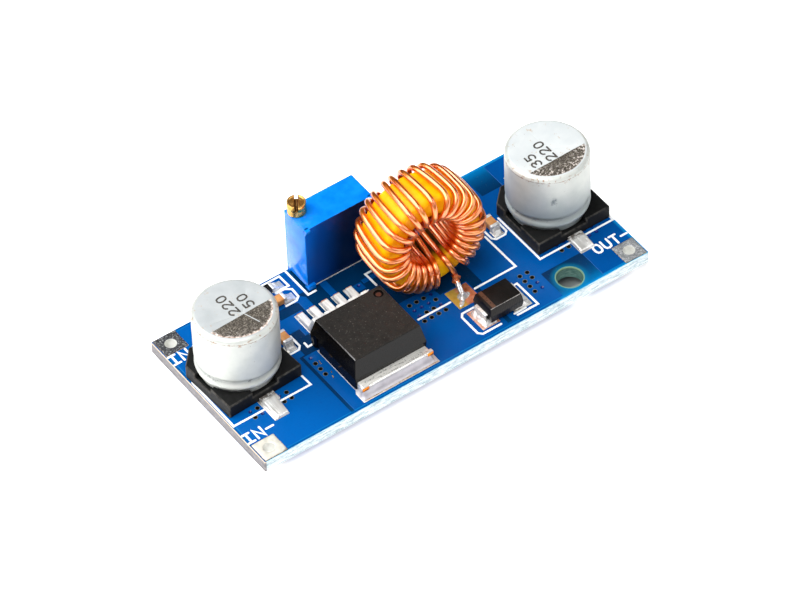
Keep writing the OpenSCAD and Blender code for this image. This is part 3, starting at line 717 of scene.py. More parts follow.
def tin(name, dark, light, rough=(0.16, 0.32), scale=1100, grain=0.3, spots=None, stretch=None, metal=1.0):
    s = Shade(name)
    co = s.stretch(*stretch) if stretch else None
    n = s.noise(1.0 if stretch else scale, 4.0, 0.6, co)
    f = s.noise(4200, 3.0)
    tone = s.ramp(n, [(0.32, dark), (0.66, light)])
    if spots:
        tone = s.mix(s.mul(s.span(s.noise(spots[1], 3.0), spots[2], spots[2] + 0.08), spots[3]), tone, spots[0])
    s.set(base=tone, metal=metal, rough=s.span(s.add(s.mul(n, 0.5), s.mul(f, 0.5)), 0.35, 0.65, rough[0], rough[1]),
          normal=s.bump(s.add(s.mul(n, 0.6), s.mul(f, 0.4)), grain, 0.00004))
    return s


def pad_tin():
    """Levelled tin on the wire pads: dull and speckled on some, bright on another; how dark or bright each pad looks is
    a painted reflection.
    """
    s = Shade("pad_tin")
    f = s.noise(5200, 3.0, 0.65)
    n = s.noise(1500, 4.0)
    x, y = s.xyz(0), s.xyz(1)
    grey = s.ramp(f, [(0.36, srgb(40, 41, 44)), (0.55, srgb(70, 71, 74)), (0.68, srgb(172, 174, 174))])
    cream = s.ramp(n, [(0.3, srgb(196, 193, 181)), (0.7, srgb(217, 214, 203))])
    # painted reflection: the bright pad is darker towards its lower right corner
    corner = s.span(s.sub(s.sub(x, y), s.mul(s.sub(n, 0.5), 0.0006)), -0.0131, -0.0127)
    cream = s.mix(s.mul(corner, 0.75), cream, srgb(104, 104, 100))
    left = s.span(x, -0.001, 0.001, 1.0, 0.0)
    bright = s.mul(left, s.span(y, -0.001, 0.001, 1.0, 0.0))
    mid = s.ramp(f, [(0.36, srgb(116, 120, 122)), (0.54, srgb(146, 148, 150)), (0.7, srgb(214, 216, 216))])
    tone = s.mix(left, mid, grey)
    tone = s.mix(bright, tone, cream)
    s.set(base=tone, metal=0.35, rough=s.span(n, 0.3, 0.7, 0.3, 0.46), spec=0.4,
          normal=s.bump(s.add(s.mul(n, 0.6), s.mul(f, 0.5)), 0.3, 0.00005))
    return s.m


def gold_land():
    """Bare land: gold on its left, coppery on its right."""
    s = Shade("gold_land")
    n = s.noise(900, 4.0)
    f = s.noise(3600, 3.0)
    gold = s.ramp(n, [(0.3, srgb(178, 146, 48)), (0.7, srgb(222, 196, 100))])
    cop = s.ramp(n, [(0.3, srgb(150, 84, 54)), (0.5, srgb(214, 136, 96)), (0.75, srgb(244, 196, 164))])
    k = s.span(s.add(s.xyz(0), s.mul(s.sub(n, 0.5), 0.0012)), 0.0052, 0.0058)
    s.set(base=s.mix(k, gold, cop), metal=0.55, rough=s.span(f, 0.3, 0.7, 0.28, 0.44),
          normal=s.bump(s.add(s.mul(n, 0.5), s.mul(f, 0.5)), 0.3, 0.00005))
    return s.m


def solder_metal(name="solder_metal", burnt=0.35, metal=0.5):
    s = Shade(name)
    n = s.noise(900, 2.0, 0.5)
    tone = s.ramp(n, [(0.3, srgb(196, 195, 196)), (0.6, srgb(236, 235, 233))])
    flux = s.mul(s.span(s.noise(1900, 4.0, 0.65), 0.58, 0.68), burnt)
    tone = s.mix(flux, tone, srgb(112, 84, 64))
    s.set(base=tone, metal=metal, spec=0.6, rough=s.span(n, 0.35, 0.65, 0.18, 0.32), normal=s.bump(n, 0.12, 0.00006))
    return s.m


def strap_metal(name):
    """Bright tin drawn out along a terminal, with painted shade where it leaves the base."""
    s = Shade(name)
    n = s.noise(1.0, 1.5, 0.5, s.stretch(1700, 200, 1700))
    m = s.noise(700, 1.0)
    tone = s.ramp(s.add(s.mul(n, 0.6), s.mul(m, 0.4)), [(0.34, srgb(192, 190, 186)), (0.6, srgb(246, 245, 242))])
    w = s.math("ABSOLUTE", s.add(s.xyz(1), s.span(s.xyz(0), -0.001, 0.001, -IN_CAP[1] * MM, -OUT_CAP[1] * MM)))
    # painted shade where the strap runs under the base
    near = s.mul(s.span(w, 0.0054, 0.0061, 1.0, 0.0), s.span(s.noise(2100, 3.0, 0.6), 0.42, 0.56))
    tone = s.mix(s.mul(near, 0.85), tone, srgb(74, 62, 52))
    s.set(base=tone, metal=0.45, spec=0.6, rough=s.span(n, 0.3, 0.7, 0.2, 0.3), normal=s.bump(n, 0.02, 0.00004))
    return s.m


def can_metal():
    s = Shade("can_metal")
    fine = s.noise(1.0, 3.0, 0.6, s.stretch(5200, 5200, 900))
    soft = s.noise(420, 3.0)
    tone = s.ramp(soft, [(0.3, srgb(186, 190, 186)), (0.7, srgb(203, 205, 200))])
    z = s.xyz(2)
    specks = s.span(s.cells(1500), 0.05, 0.1, 1.0, 0.0)
    dirty = s.noise(2100, 4.0, 0.65)
    flat = s.span(z, 0.01299, 0.01302)
    lid = s.mix(s.span(s.xyz(0), -0.001, 0.001), s.ramp(soft, [(0.3, srgb(166, 171, 173)), (0.7, srgb(181, 185, 186))]),
                s.ramp(soft, [(0.3, srgb(190, 196, 198)), (0.7, srgb(203, 207, 207))]))
    # painted reflection and shade: the lower wall is painted bluish grey, all round on the right can and towards the
    # right on the left can
    right = s.span(s.xyz(0), -0.001, 0.001)
    lower_painted_reflection = s.mul(s.span(z, 0.0052, 0.0115, 1.0, 0.0), s.most(s.mul(right, 0.62), s.span(s.xyz(0), -0.0225, -0.0168, 0.0, 0.34)))
    tone = s.mix(lower_painted_reflection, tone, srgb(116, 132, 139))
    tone = s.mix(flat, tone, lid)
    line = s.mul(s.span(z, 0.01234, 0.01239), s.span(z, 0.01243, 0.01248, 1.0, 0.0))
    tone = s.mix(s.mul(s.mul(line, s.span(dirty, 0.38, 0.54)), 0.75), tone, srgb(112, 84, 60))
    rim = s.mul(s.mul(s.span(z, 0.01165, 0.01225), s.span(z, 0.0129, 0.01302, 1.0, 0.0)), s.span(dirty, 0.56, 0.66))
    tone = s.mix(s.mul(rim, 0.7), tone, srgb(148, 108, 74))
    top = s.mul(flat, s.span(s.noise(1500, 4.0, 0.66), 0.61, 0.7))
    tone = s.mix(s.mul(top, 0.6), tone, srgb(172, 142, 108))
    # painted shade in the groove above the bulge, with dark specks of dirt in it
    low = s.mul(s.span(z, 0.0055, 0.00585), s.span(z, 0.0060, 0.0068, 1.0, 0.0))
    tone = s.mix(s.mul(low, 0.45), tone, srgb(124, 128, 128))
    tone = s.mix(s.mul(s.mul(s.mul(low, s.span(dirty, 0.52, 0.6)), s.span(s.noise(330, 2.0), 0.5, 0.6)), 0.75), tone, srgb(52, 50, 48))
    tone = s.mix(s.mul(s.mul(specks, s.span(s.noise(640, 2.0), 0.57, 0.62)), 0.6), tone, srgb(110, 98, 86))
    # painted shade on the dent in the output can's wall
    spot = s.length(s.stretch(1, 1, 0.6, s.shift(-19.25 * MM, 3.61 * MM, -9.2 * MM)))
    spot = s.span(s.add(spot, s.mul(s.sub(s.noise(2300, 3.0), 0.5), 0.0011)), 0.0001, 0.00046, 1.0, 0.0)
    tone = s.mix(s.mul(spot, 0.75), tone, srgb(96, 104, 112))
    s.set(base=tone, metal=s.span(flat, 0.0, 1.0, 0.4, 0.12), rough=s.span(s.add(s.mul(fine, 0.5), s.mul(soft, 0.5)), 0.35, 0.65, 0.38, 0.48), spec=0.4,
          normal=s.bump(s.add(s.mul(fine, 0.4), s.mul(s.noise(7000, 2.0), 0.4)), 0.1, 0.00002))
    return s.m


def can_print(name, c, worn_from, worn_to, flakes):
    """The dark printed segment, rubbed away towards the rim."""
    s = Shade(name)
    d = s.length(s.stretch(1, 1, 0, s.shift(-c[0] * MM, -c[1] * MM, 0)))
    g = s.noise(6800, 3.0, 0.7)
    w = s.noise(2600, 4.0, 0.62)
    dark = s.ramp(g, [(0.36, srgb(40, 36, 32)), (0.54, srgb(78, 72, 64)), (0.68, srgb(146, 138, 126))])
    worn = s.ramp(w, [(0.35, srgb(172, 140, 122)), (0.5, srgb(210, 190, 178)), (0.66, srgb(238, 234, 228))])
    k = s.span(s.add(d, s.mul(s.sub(w, 0.5), 0.0009)), worn_from, worn_to)
    chip = s.mul(s.mul(s.span(w, 0.52, 0.6), s.span(d, 0.0024, 0.0040)), flakes)
    s.set(base=s.mix(s.most(k, chip), dark, worn), metal=0.1, rough=s.span(g, 0.3, 0.7, 0.4, 0.62), spec=0.35,
          normal=s.bump(g, 0.45, 0.00004))
    return s.m


def print_ink():
    s = Shade("print_ink")
    g = s.noise(6000, 3.0, 0.7)
    s.set(base=s.ramp(g, [(0.36, srgb(34, 32, 30)), (0.6, srgb(74, 70, 64)), (0.78, srgb(150, 146, 138))]), metal=0.1,
          rough=s.span(g, 0.3, 0.7, 0.4, 0.6), normal=s.bump(g, 0.3, 0.00003))
    return s.m


def moulding(name, dark, light, top_rough, side_rough, spec=0.5, speck=0.0):
    """Black moulding compound: matt on top, smoother on its drafted sides."""
    s = Shade(name)
    up = s.span(s.face(2), 0.6, 0.9)
    g = s.noise(6400, 3.0, 0.7)
    n = s.noise(1100, 3.0)
    tone = s.ramp(s.add(s.mul(g, 0.65), s.mul(n, 0.35)), [(0.34, dark), (0.66, light)])
    if speck:
        fleck = s.mul(s.span(s.noise(5200, 2.0, 0.8), 0.64, 0.72), up)
        tone = s.mix(s.mul(fleck, speck), tone, srgb(122, 118, 110))
    r = s.add(s.mul(up, top_rough - side_rough), s.add(side_rough, s.mul(s.sub(g, 0.5), 0.16)))
    s.set(base=tone, rough=r, spec=spec, normal=s.bump(s.mul(g, s.add(0.25, s.mul(up, 0.75))), 0.42, 0.00004))
    return s


def diode_moulding():
    s = moulding("diode_moulding", srgb(8, 6, 5), srgb(21, 17, 15), 0.38, 0.3, 0.18)
    x = s.xyz(0)
    x0 = (DIODE[0] - 2.15 + 0.3) * MM
    band = s.mul(s.mul(s.span(x, x0, x0 + 0.00003), s.span(x, x0 + 0.00052, x0 + 0.00055, 1.0, 0.0)), s.span(s.face(2), 0.8, 0.95))
    base = s.b.inputs["Base Color"].links[0].from_socket
    band = s.mul(band, s.span(s.noise(5200, 3.0, 0.7), 0.3, 0.48))
    s.set(base=s.mix(s.mul(band, 0.8), base, srgb(92, 62, 46)))
    ribs = s.math("SINE", s.mul(x, 26000.0))
    # painted highlight: the ribbed front face is painted lighter grey
    front = s.span(s.face(1), -0.9, -0.7, 1.0, 0.0)
    base = s.b.inputs["Base Color"].links[0].from_socket
    s.set(base=s.mix(s.mul(front, 0.3), base, srgb(44, 42, 42)),
          normal=s.bump(s.mul(s.mul(ribs, front), 0.5), 0.3, 0.00003, s.b.inputs["Normal"].links[0].from_socket))
    return s.m


def copper_wire():
    s = Shade("copper_wire")
    n = s.noise(600, 2.0)
    tone = s.ramp(n, [(0.3, srgb(236, 106, 16)), (0.55, srgb(250, 132, 28)), (0.75, srgb(255, 156, 48))])
    s.set(base=tone, metal=0.92, spec=0.8, tint=(1.0, 0.9, 0.78, 1.0), rough=s.span(n, 0.3, 0.7, 0.27, 0.32),
          coat=1.0, coat_rough=0.12, coat_ior=2.1, normal=s.bump(n, 0.03, 0.00003))
    return s.m


def core_paint():
    s = Shade("core_paint")
    n = s.noise(700, 4.0)
    f = s.noise(3800, 3.0, 0.6)
    tone = s.ramp(n, [(0.3, srgb(244, 164, 0)), (0.55, srgb(250, 186, 2)), (0.75, srgb(255, 204, 12))])
    tone = s.mix(s.mul(s.span(f, 0.56, 0.74), 0.3), tone, srgb(216, 130, 0))
    # painted shade in the bore, deeper towards its back
    rel = s.shift(*(-CORE * MM))
    along = s.t.nodes.new("ShaderNodeVectorMath")
    along.operation = "DOT_PRODUCT"
    s.feed(along.inputs[0], rel)
    along.inputs[1].default_value = tuple(CZ)
    h = along.outputs["Value"]
    r2 = s.sub(s.mul(s.length(rel), s.length(rel)), s.mul(h, h))
    bore = s.span(r2, 0.0000146, 0.0000168, 1.0, 0.0)
    tone = s.mix(s.mul(s.mul(bore, s.span(h, 0.0004, 0.0026, 1.0, 0.0)), 0.96), tone, srgb(44, 22, 5))
    s.set(base=tone, spec=s.span(s.mul(bore, s.span(h, 0.0004, 0.0026, 1.0, 0.0)), 0.0, 0.6, 0.18, 0.02), rough=s.span(f, 0.3, 0.7, 0.3, 0.44),
          normal=s.bump(s.add(s.mul(n, 0.7), s.mul(f, 0.3)), 0.3, 0.00006))
    return s.m


def trimmer_plastic(name="trimmer_plastic", dark=srgb(0, 112, 218), light=srgb(8, 132, 236), spec=0.3):
    s = Shade(name)
    n = s.noise(650, 3.0)
    f = s.noise(4200, 3.0)
    tone = s.ramp(n, [(0.3, dark), (0.7, light)])
    marks = s.mul(s.span(s.cells(900), 0.05, 0.085, 1.0, 0.0), s.span(s.noise(420, 1.0), 0.58, 0.62))
    tone = s.mix(s.mul(marks, 0.6), tone, srgb(0, 50, 130))
    s.set(base=tone, spec=spec, rough=s.span(s.add(s.mul(n, 0.4), s.mul(f, 0.6)), 0.35, 0.65, 0.1, 0.18),
          normal=s.bump(s.add(s.mul(n, 0.6), s.mul(f, 0.25)), 0.06, 0.00005))
    return s.m


def trimmer_panel():
    """The front, duller, painted darker as shade and darker still towards the ring as a painted shadow."""
    s = mottled("trimmer_panel", srgb(0, 94, 204), srgb(0, 104, 216), 700, (0.3, 0.42), spec=0.12, grain=(4200, 0.08, 0.00003))
    base = s.b.inputs["Base Color"].links[0].from_socket
    x = s.add(s.xyz(0), s.mul(s.xyz(2), -0.1))
    mid = s.mix(s.span(x, -0.0091, -0.0068), base, srgb(0, 66, 152))
    s.set(base=s.mix(s.span(x, -0.0075, -0.0032), mid, srgb(0, 27, 68)))
    return s.m


def brass():
    s = Shade("brass")
    d = s.length(s.stretch(1, 1, 0, s.shift(-SCREW[0] * MM, -SCREW[1] * MM, 0)))
    rings = s.math("SINE", s.add(s.mul(d, 42000.0), s.mul(s.noise(2600, 2.0), 2.0)))
    lathe_ = s.noise(1.0, 3.0, 0.6, s.stretch(700, 700, 14000))
    n = s.noise(1500, 3.0)
    up = s.span(s.face(2), 0.7, 0.9)
    tone = s.ramp(n, [(0.3, srgb(196, 146, 72)), (0.6, srgb(222, 176, 100)), (0.8, srgb(244, 208, 140))])
    dish = s.mul(up, s.span(d, 0.00082, 0.00096, 1.0, 0.0))
    tone = s.mix(s.mul(dish, 0.62), tone, srgb(126, 74, 22))
    # painted shade in the slot, darkest towards its walls
    pit = s.mul(s.span(s.xyz(2), 0.01362, 0.0139, 1.0, 0.0), s.mul(s.span(d, 0.00098, 0.00104, 1.0, 0.0), s.span(s.xyz(2), 0.0126, 0.0127)))
    c, k = math.cos(math.radians(34.0)), math.sin(math.radians(34.0))
    across = s.math("ABSOLUTE", s.sub(s.mul(s.sub(s.xyz(0), SCREW[0] * MM), c), s.mul(s.sub(s.xyz(1), SCREW[1] * MM), k)))
    tone = s.mix(s.mul(pit, s.span(across, 0.00005, 0.00012, 0.2, 0.85)), tone, srgb(64, 28, 8))
    tone = s.mix(s.mul(s.mul(s.span(rings, 0.2, 0.9), up), 0.35), tone, srgb(120, 74, 26))
    s.set(base=tone, metal=s.span(up, 0.0, 1.0, 1.0, 0.7), rough=s.span(n, 0.3, 0.7, 0.16, 0.26),
          normal=s.bump(s.add(s.mul(s.mul(rings, up), 0.3), s.mul(lathe_, 0.4)), 0.25, 0.00004))
    return s.m


def regulator_moulding(name="moulding_compound", gloss=0.0):
    s = moulding(name, srgb(14, 13, 12), srgb(38, 35, 32), 0.48 - 0.34 * gloss, 0.16, 0.2 + 0.7 * gloss, 0.4)
    base = s.b.inputs["Base Color"].links[0].from_socket
    # painted shade: the sides are painted near black, darker than the top
    base = s.mix(s.span(s.face(2), 0.35, 0.7, 0.8, 0.0), base, srgb(5, 5, 6))
    # the pin-one dimple is only painted: a ring of painted shade around a pit with a brownish painted glint
    d = s.length(s.stretch(1, 1, 0, s.shift(4.12 * MM, 1.52 * MM, 0)))
    d = s.add(d, s.mul(s.sub(s.noise(2600, 2.0), 0.5), 0.00012))
    high = s.span(s.xyz(2), 0.0067, 0.0069)
    ring = s.mul(s.mul(s.span(d, 0.0003, 0.0004), s.span(d, 0.00054, 0.00062, 1.0, 0.0)), high)
    pit = s.mul(s.span(d, 0.00024, 0.00036, 1.0, 0.0), high)
    base = s.mix(s.mul(ring, 0.9), base, srgb(4, 4, 4))
    base = s.mix(s.mul(pit, 0.85), base, srgb(74, 36, 22))
    left = s.span(s.face(0), -0.85, -0.6, 0.15 + 0.85 * gloss, 1.0)
    s.set(base=base, coat=gloss, coat_rough=0.08, spec=s.mul(left, s.span(ring, 0.0, 0.8, 0.2 + 0.7 * gloss, 0.02)))
    return s.m


M = {}
M["mask_cu"] = mask_over_copper()
M["mask_fr4"] = mask_over_laminate()
M["edge"] = laminate_edge()
M["drilled"] = drilled_laminate()
M["barrel"] = via_barrel()
M["tented"] = tented_via()
M["ring"] = via_ring()
M["silk"] = silk_ink()
M["pad"] = pad_tin()
M["gold"] = gold_land()
M["rim_gold"] = tin("rim_gold", srgb(170, 132, 58), srgb(228, 196, 122), (0.2, 0.35)).m
M["land"] = tin("land_tin", srgb(182, 178, 166), srgb(226, 222, 212), (0.26, 0.42), spots=(srgb(176, 124, 76), 1600, 0.62, 0.45), metal=0.5).m
M["diode_land"] = tin("diode_land", srgb(190, 132, 104), srgb(232, 208, 190), (0.26, 0.42), spots=(srgb(222, 120, 44), 1700, 0.6, 0.6), metal=0.5).m
M["solder"] = solder_metal()
M["solder_clean"] = solder_metal("solder_clean", 0.06, 0.25)
M["solder_tab"] = mottled("solder_tab", srgb(166, 162, 170), srgb(206, 203, 208), 520, (0.3, 0.42), metal=0.3, grain=(3600, 0.1, 0.00003)).m
M["solder_flat"] = strap_metal("solder_flat")
M["solder_wire"] = solder_metal("solder_wire", 0.2, 0.6)
M["plated"] = tin("plated_hole", srgb(222, 222, 216), srgb(244, 244, 238), (0.3, 0.45), metal=0.15).m
M["can"] = can_metal()
M["print_in"] = can_print("print_in", IN_CAP, 0.0040, 0.0044, 0.12)
M["print_out"] = can_print("print_out", OUT_CAP, 0.0042, 0.0046, 0.75)
M["ink"] = print_ink()
M["base"] = mottled("base_plastic", srgb(9, 10, 10), srgb(23, 23, 23), 1400, (0.46, 0.6), spec=0.14, grain=(6800, 0.35, 0.00003)).m
# scuffed edges of the foot plates, lightened further as a painted highlight
M["base_worn"] = mottled("base_worn_edges", srgb(12, 12, 12), srgb(74, 72, 69), 1700, (0.5, 0.64), spec=0.1, grain=(6800, 0.35, 0.00003)).m
M["case"] = regulator_moulding()
M["case_edge"] = regulator_moulding("moulding_edge", 1.0)
M["diode"] = diode_moulding()
# painted highlight: light grey on the diode's front top edge
M["diode_edge_painted_highlight"] = mottled("diode_edge_painted_highlight", srgb(52, 49, 46), srgb(176, 172, 168), 1500, (0.24, 0.4), spec=0.5, grain=(6800, 0.2, 0.00002)).m
M["tab"] = tin("tab_tin", srgb(200, 198, 192), srgb(240, 238, 232), (0.24, 0.4), stretch=(500, 3600, 3600), grain=0.2,
               spots=(srgb(150, 140, 126), 1300, 0.64, 0.4), metal=0.5).m
M["strap"] = strap_metal("strap_tin")
M["copper"] = copper_wire()
M["core"] = core_paint()
M["blue"] = trimmer_plastic()
M["blue_panel"] = trimmer_panel()
M["brass"] = brass()
M["tinned_wire"] = tin("tinned_wire", srgb(150, 150, 154), srgb(240, 240, 240), (0.14, 0.26), stretch=(1500, 1500, 900), grain=0.3, metal=0.7).m
M["burnt"] = mottled("burnt_enamel", srgb(112, 44, 16), srgb(206, 112, 60), 2600, (0.2, 0.4), metal=0.35, grain=(5200, 0.4, 0.00005)).m
M["cut_copper"] = mottled("cut_copper", srgb(186, 84, 12), srgb(246, 150, 50), 2400, (0.22, 0.36), metal=0.9, grain=(5200, 0.3, 0.00003)).m
M["chip_end"] = tin("chip_end_tin", srgb(186, 186, 186), srgb(236, 236, 234), (0.26, 0.4), scale=1900, metal=0.5).m
M["mlcc"] = mottled("chip_ceramic", srgb(176, 112, 52), srgb(206, 146, 84), 1300, (0.34, 0.46), grain=(7200, 0.18, 0.00002)).m
M["resistor"] = mottled("resistor_glaze", srgb(10, 10, 11), srgb(26, 26, 28), 1900, (0.16, 0.3), grain=(6000, 0.2, 0.00003)).m
M["rubber"] = mottled("bung_rubber", srgb(28, 26, 25), srgb(46, 43, 41), 1500, (0.6, 0.75), spec=0.3).m
M["foil"] = mottled("foil_roll", srgb(168, 146, 108), srgb(206, 186, 146), 900, (0.45, 0.6), grain=(5200, 0.3, 0.00004)).m
M["silicon"] = mottled("silicon", srgb(62, 64, 74), srgb(96, 98, 110), 1500, (0.15, 0.25), metal=0.6).m
M["bond"] = mottled("bond_metal", srgb(188, 164, 108), srgb(220, 200, 146), 2400, (0.2, 0.3), metal=1.0).m
M["ring_rubber"] = mottled("seal_rubber", srgb(20, 20, 20), srgb(36, 36, 36), 2400, (0.5, 0.65), spec=0.35).m
M["rotor"] = mottled("rotor_plastic", srgb(206, 200, 182), srgb(234, 230, 216), 900, (0.35, 0.5)).m
M["wiper"] = mottled("wiper_metal", srgb(184, 146, 74), srgb(222, 188, 112), 1900, (0.2, 0.32), metal=1.0).m
M["element"] = mottled("element_ceramic", srgb(210, 210, 202), srgb(236, 236, 230), 1300, (0.4, 0.55)).m
M["resin"] = mottled("seal_resin", srgb(8, 24, 66), srgb(16, 42, 96), 900, (0.25, 0.4), spec=0.5).m


# ---------------------------------------------------------------- circuit board
BARE = [
    rect(14.95, 20.65, -11.3, -6.8),
    rect(16.9, 19.8, 7.35, 11.3),
    rect(-14.83, -14.4, -11.3, -0.8),
    rect(-14.83, -2.2, -0.96, -0.78),
    rect(-14.05, -12.25, -0.9, 2.9),
    rect(-12.4, -11.72, -0.9, 1.65),
    rect(-11.8, -2.2, -0.9, 1.4),
    rect(-10.42, -2.2, 1.2, 5.0),
    rect(-13.2, -10.2, 5.22, 6.62),
    rect(-10.3, 3.5, 4.95, 7.4),
    rect(-8.3, 3.5, 7.3, 11.25),
    rect(-2.3, 8.83, -0.72, 4.3),
    [(3.6, -0.8), (3.75, -2.45), (7.42, -2.45), (7.42, -3.75), (8.83, -3.75), (8.83, -0.6)],
    rect(7.42, 8.0, -10.7, -3.7),
    rect(3.4, 8.2, 4.1, 8.0),
]
ISLANDS = [
    [(-10.0, 4.5), (-8.75, 4.5), (-8.75, 6.6), (-9.6, 7.45), (-10.9, 7.45), (-10.9, 6.9), (-10.0, 6.35)],
    rect(-6.4, -5.45, 4.5, 7.7),
    rect(-3.75, -2.35, 3.6, 4.75),
    rect(4.0, 7.45, 4.2, 7.6),
]
COPPER = rect(-26.65, 26.65, -11.15, 11.15)
OPEN_VIAS = [(-0.08, -1.75), (0.92, -1.75), (1.92, -1.75), (2.92, -2.75), (0.92, -3.75), (1.92, -3.75),
             (-0.08, -4.75), (0.92, -4.75), (1.92, -4.75), (2.92, -4.75),
             (-13.85, -2.6), (-13.85, -3.6), (-13.85, -4.6),
             (12.78, -5.65), (12.78, -6.63), (12.78, -7.61), (12.78, -8.59), (13.82, -5.65), (13.82, -6.63),
             (-19.0, -4.22), (-19.0, -5.24), (-20.0, -5.24), (-23.0, -4.22), (-24.0, -5.24),
             (20.1, -5.24), (19.1, -5.24)]
TENTED = [(2.92, -1.75), (-0.08, -2.75), (0.92, -2.75), (1.92, -2.75), (-0.08, -3.75), (2.92, -3.75), (-13.85, -1.6),
          (13.82, -7.61), (13.82, -8.59), (-20.0, -4.22), (-24.0, -4.22), (-23.0, -5.24),
          (23.1, -4.22), (24.1, -4.22), (23.1, -5.24), (24.1, -5.24), (20.1, -4.22), (19.1, -4.22), (-2.9, 4.35)]
BARE_UNDER = [rect(14.95, 20.65, -11.3, -6.8), rect(16.9, 19.8, 7.35, 11.3), rect(-15.2, -14.6, -11.2, 6.0),
              rect(-15.2, -3.0, 5.6, 6.2), rect(-3.4, -2.8, 5.6, 11.2), rect(8.4, 9.0, -11.2, 11.2),
              rect(-8.4, -3.0, 6.2, 11.0)]
ISLANDS_UNDER = [circle(x, PIN_Y, 1.15, 24) for x in PINS]


def copper_depth(P, bare, islands):
    """Distance into the copper, positive over copper."""
    gap = np.min([sd_poly(P, b) for b in bare], 0)
    if islands:
        gap = np.maximum(gap, -np.min([sd_poly(P, i) for i in islands], 0))
    return np.minimum(gap, -sd_poly(P, COPPER))


def board():
    bag = Bag()
    big = [circle(MOUNT[0], MOUNT[1], 1.6, 64)] + [circle(s * WIRE[0], t * WIRE[1], 0.77, 40) for s in (-1, 1) for t in (-1, 1)]
    holes = big + [circle(x, y, 0.25, 24) for x, y in OPEN_VIAS]
    outline = rect(-27, 27, -11.5, 11.5, 0.12, 3)
    inset = grow(outline, -0.05)
    slope = 0.06

    def sheet(bare, islands, z0, dz, tented):
        loops = [inset] + holes + [COPPER, grow(COPPER, -slope)]
        for h in holes[5:]:
            loops.append(grow(h, 0.06))
        loops.append(grow(holes[0], 0.08))
        for b in bare:
            loops += [b, grow(b, slope)]
        for b in islands:
            loops += [b, grow(b, -slope)]
        pts = []
        for x, y in tented:
            loops += [circle(x, y, r, n) for r, n in ((0.28, 24), (0.258, 24), (0.236, 24), (0.205, 24), (0.17, 24), (0.135, 20), (0.1, 16), (0.065, 12), (0.03, 8))]
            pts.append((x, y))
        V, F = cdt(loops, pts)
        C = V[F].mean(1)
        keep = sd_poly(C, inset) < 0
        for h in holes:
            keep &= sd_poly(C, h) > 0
        F, C = F[keep], C[keep]
        c = copper_depth(V, bare, islands)
        z = z0 + dz * np.clip(c / slope, 0, 1)
        kind = np.where(copper_depth(C, bare, islands) > 0, 0, 1)
        for x, y in tented:
            r = np.hypot(V[:, 0] - x, V[:, 1] - y)
            z = np.where(r < 0.279, z - dz * 3.2 * np.cos(np.clip(r / 0.28, 0, 1) * math.pi / 2) ** 1.5, z)
            kind = np.where(np.hypot(C[:, 0] - x, C[:, 1] - y) < 0.234, 5, kind)
        for x, y in OPEN_VIAS:
            kind = np.where(np.hypot(C[:, 0] - x, C[:, 1] - y) < 0.305, 6, kind)
        bag.add([(p[0], p[1], q) for p, q in zip(V, z)], [tuple(f) for f in F], list(kind))

    sheet(BARE, ISLANDS, Z_TOP, Z_MASK - Z_TOP, TENTED)
    sheet(BARE_UNDER, ISLANDS_UNDER, Z_BOT, Z_TOP - Z_MASK, TENTED)

    def wall(loops_z, mat):
        n = len(loops_z[0][0])
        v = [(x, y, z) for loop, z in loops_z for x, y in loop]
        f = [(k * n + i, k * n + (i + 1) % n, (k + 1) * n + (i + 1) % n, (k + 1) * n + i)
             for k in range(len(loops_z) - 1) for i in range(n)]
        bag.add(v, f, mat)

    wall([(inset, Z_TOP), (outline, Z_TOP - 0.05), (outline, Z_BOT + 0.05), (inset, Z_BOT)], 2)
    for k, h in enumerate(holes):
        P = np.array(h)
        up = Z_TOP + (Z_MASK - Z_TOP) * np.clip(copper_depth(P, BARE, ISLANDS) / slope, 0, 1)
        dn = Z_BOT - (Z_MASK - Z_TOP) * np.clip(copper_depth(P, BARE_UNDER, ISLANDS_UNDER) / slope, 0, 1)
        n = len(h)
        v = [(x, y, z) for (x, y), z in zip(h, up)] + [(x, y, z) for (x, y), z in zip(h, dn)]
        bag.add(v, [(i, (i + 1) % n, n + (i + 1) % n, n + i) for i in range(n)], 3 if k == 0 else 4)
    ob = make("circuit_board_faced", bag.v, bag.f, [M["mask_cu"], M["mask_fr4"], M["edge"], M["drilled"], M["barrel"], M["tented"], M["ring"]],
              bag.m, angle=14.0, hides=("circuit_board",), merge=1e-3)
    return ob


board()


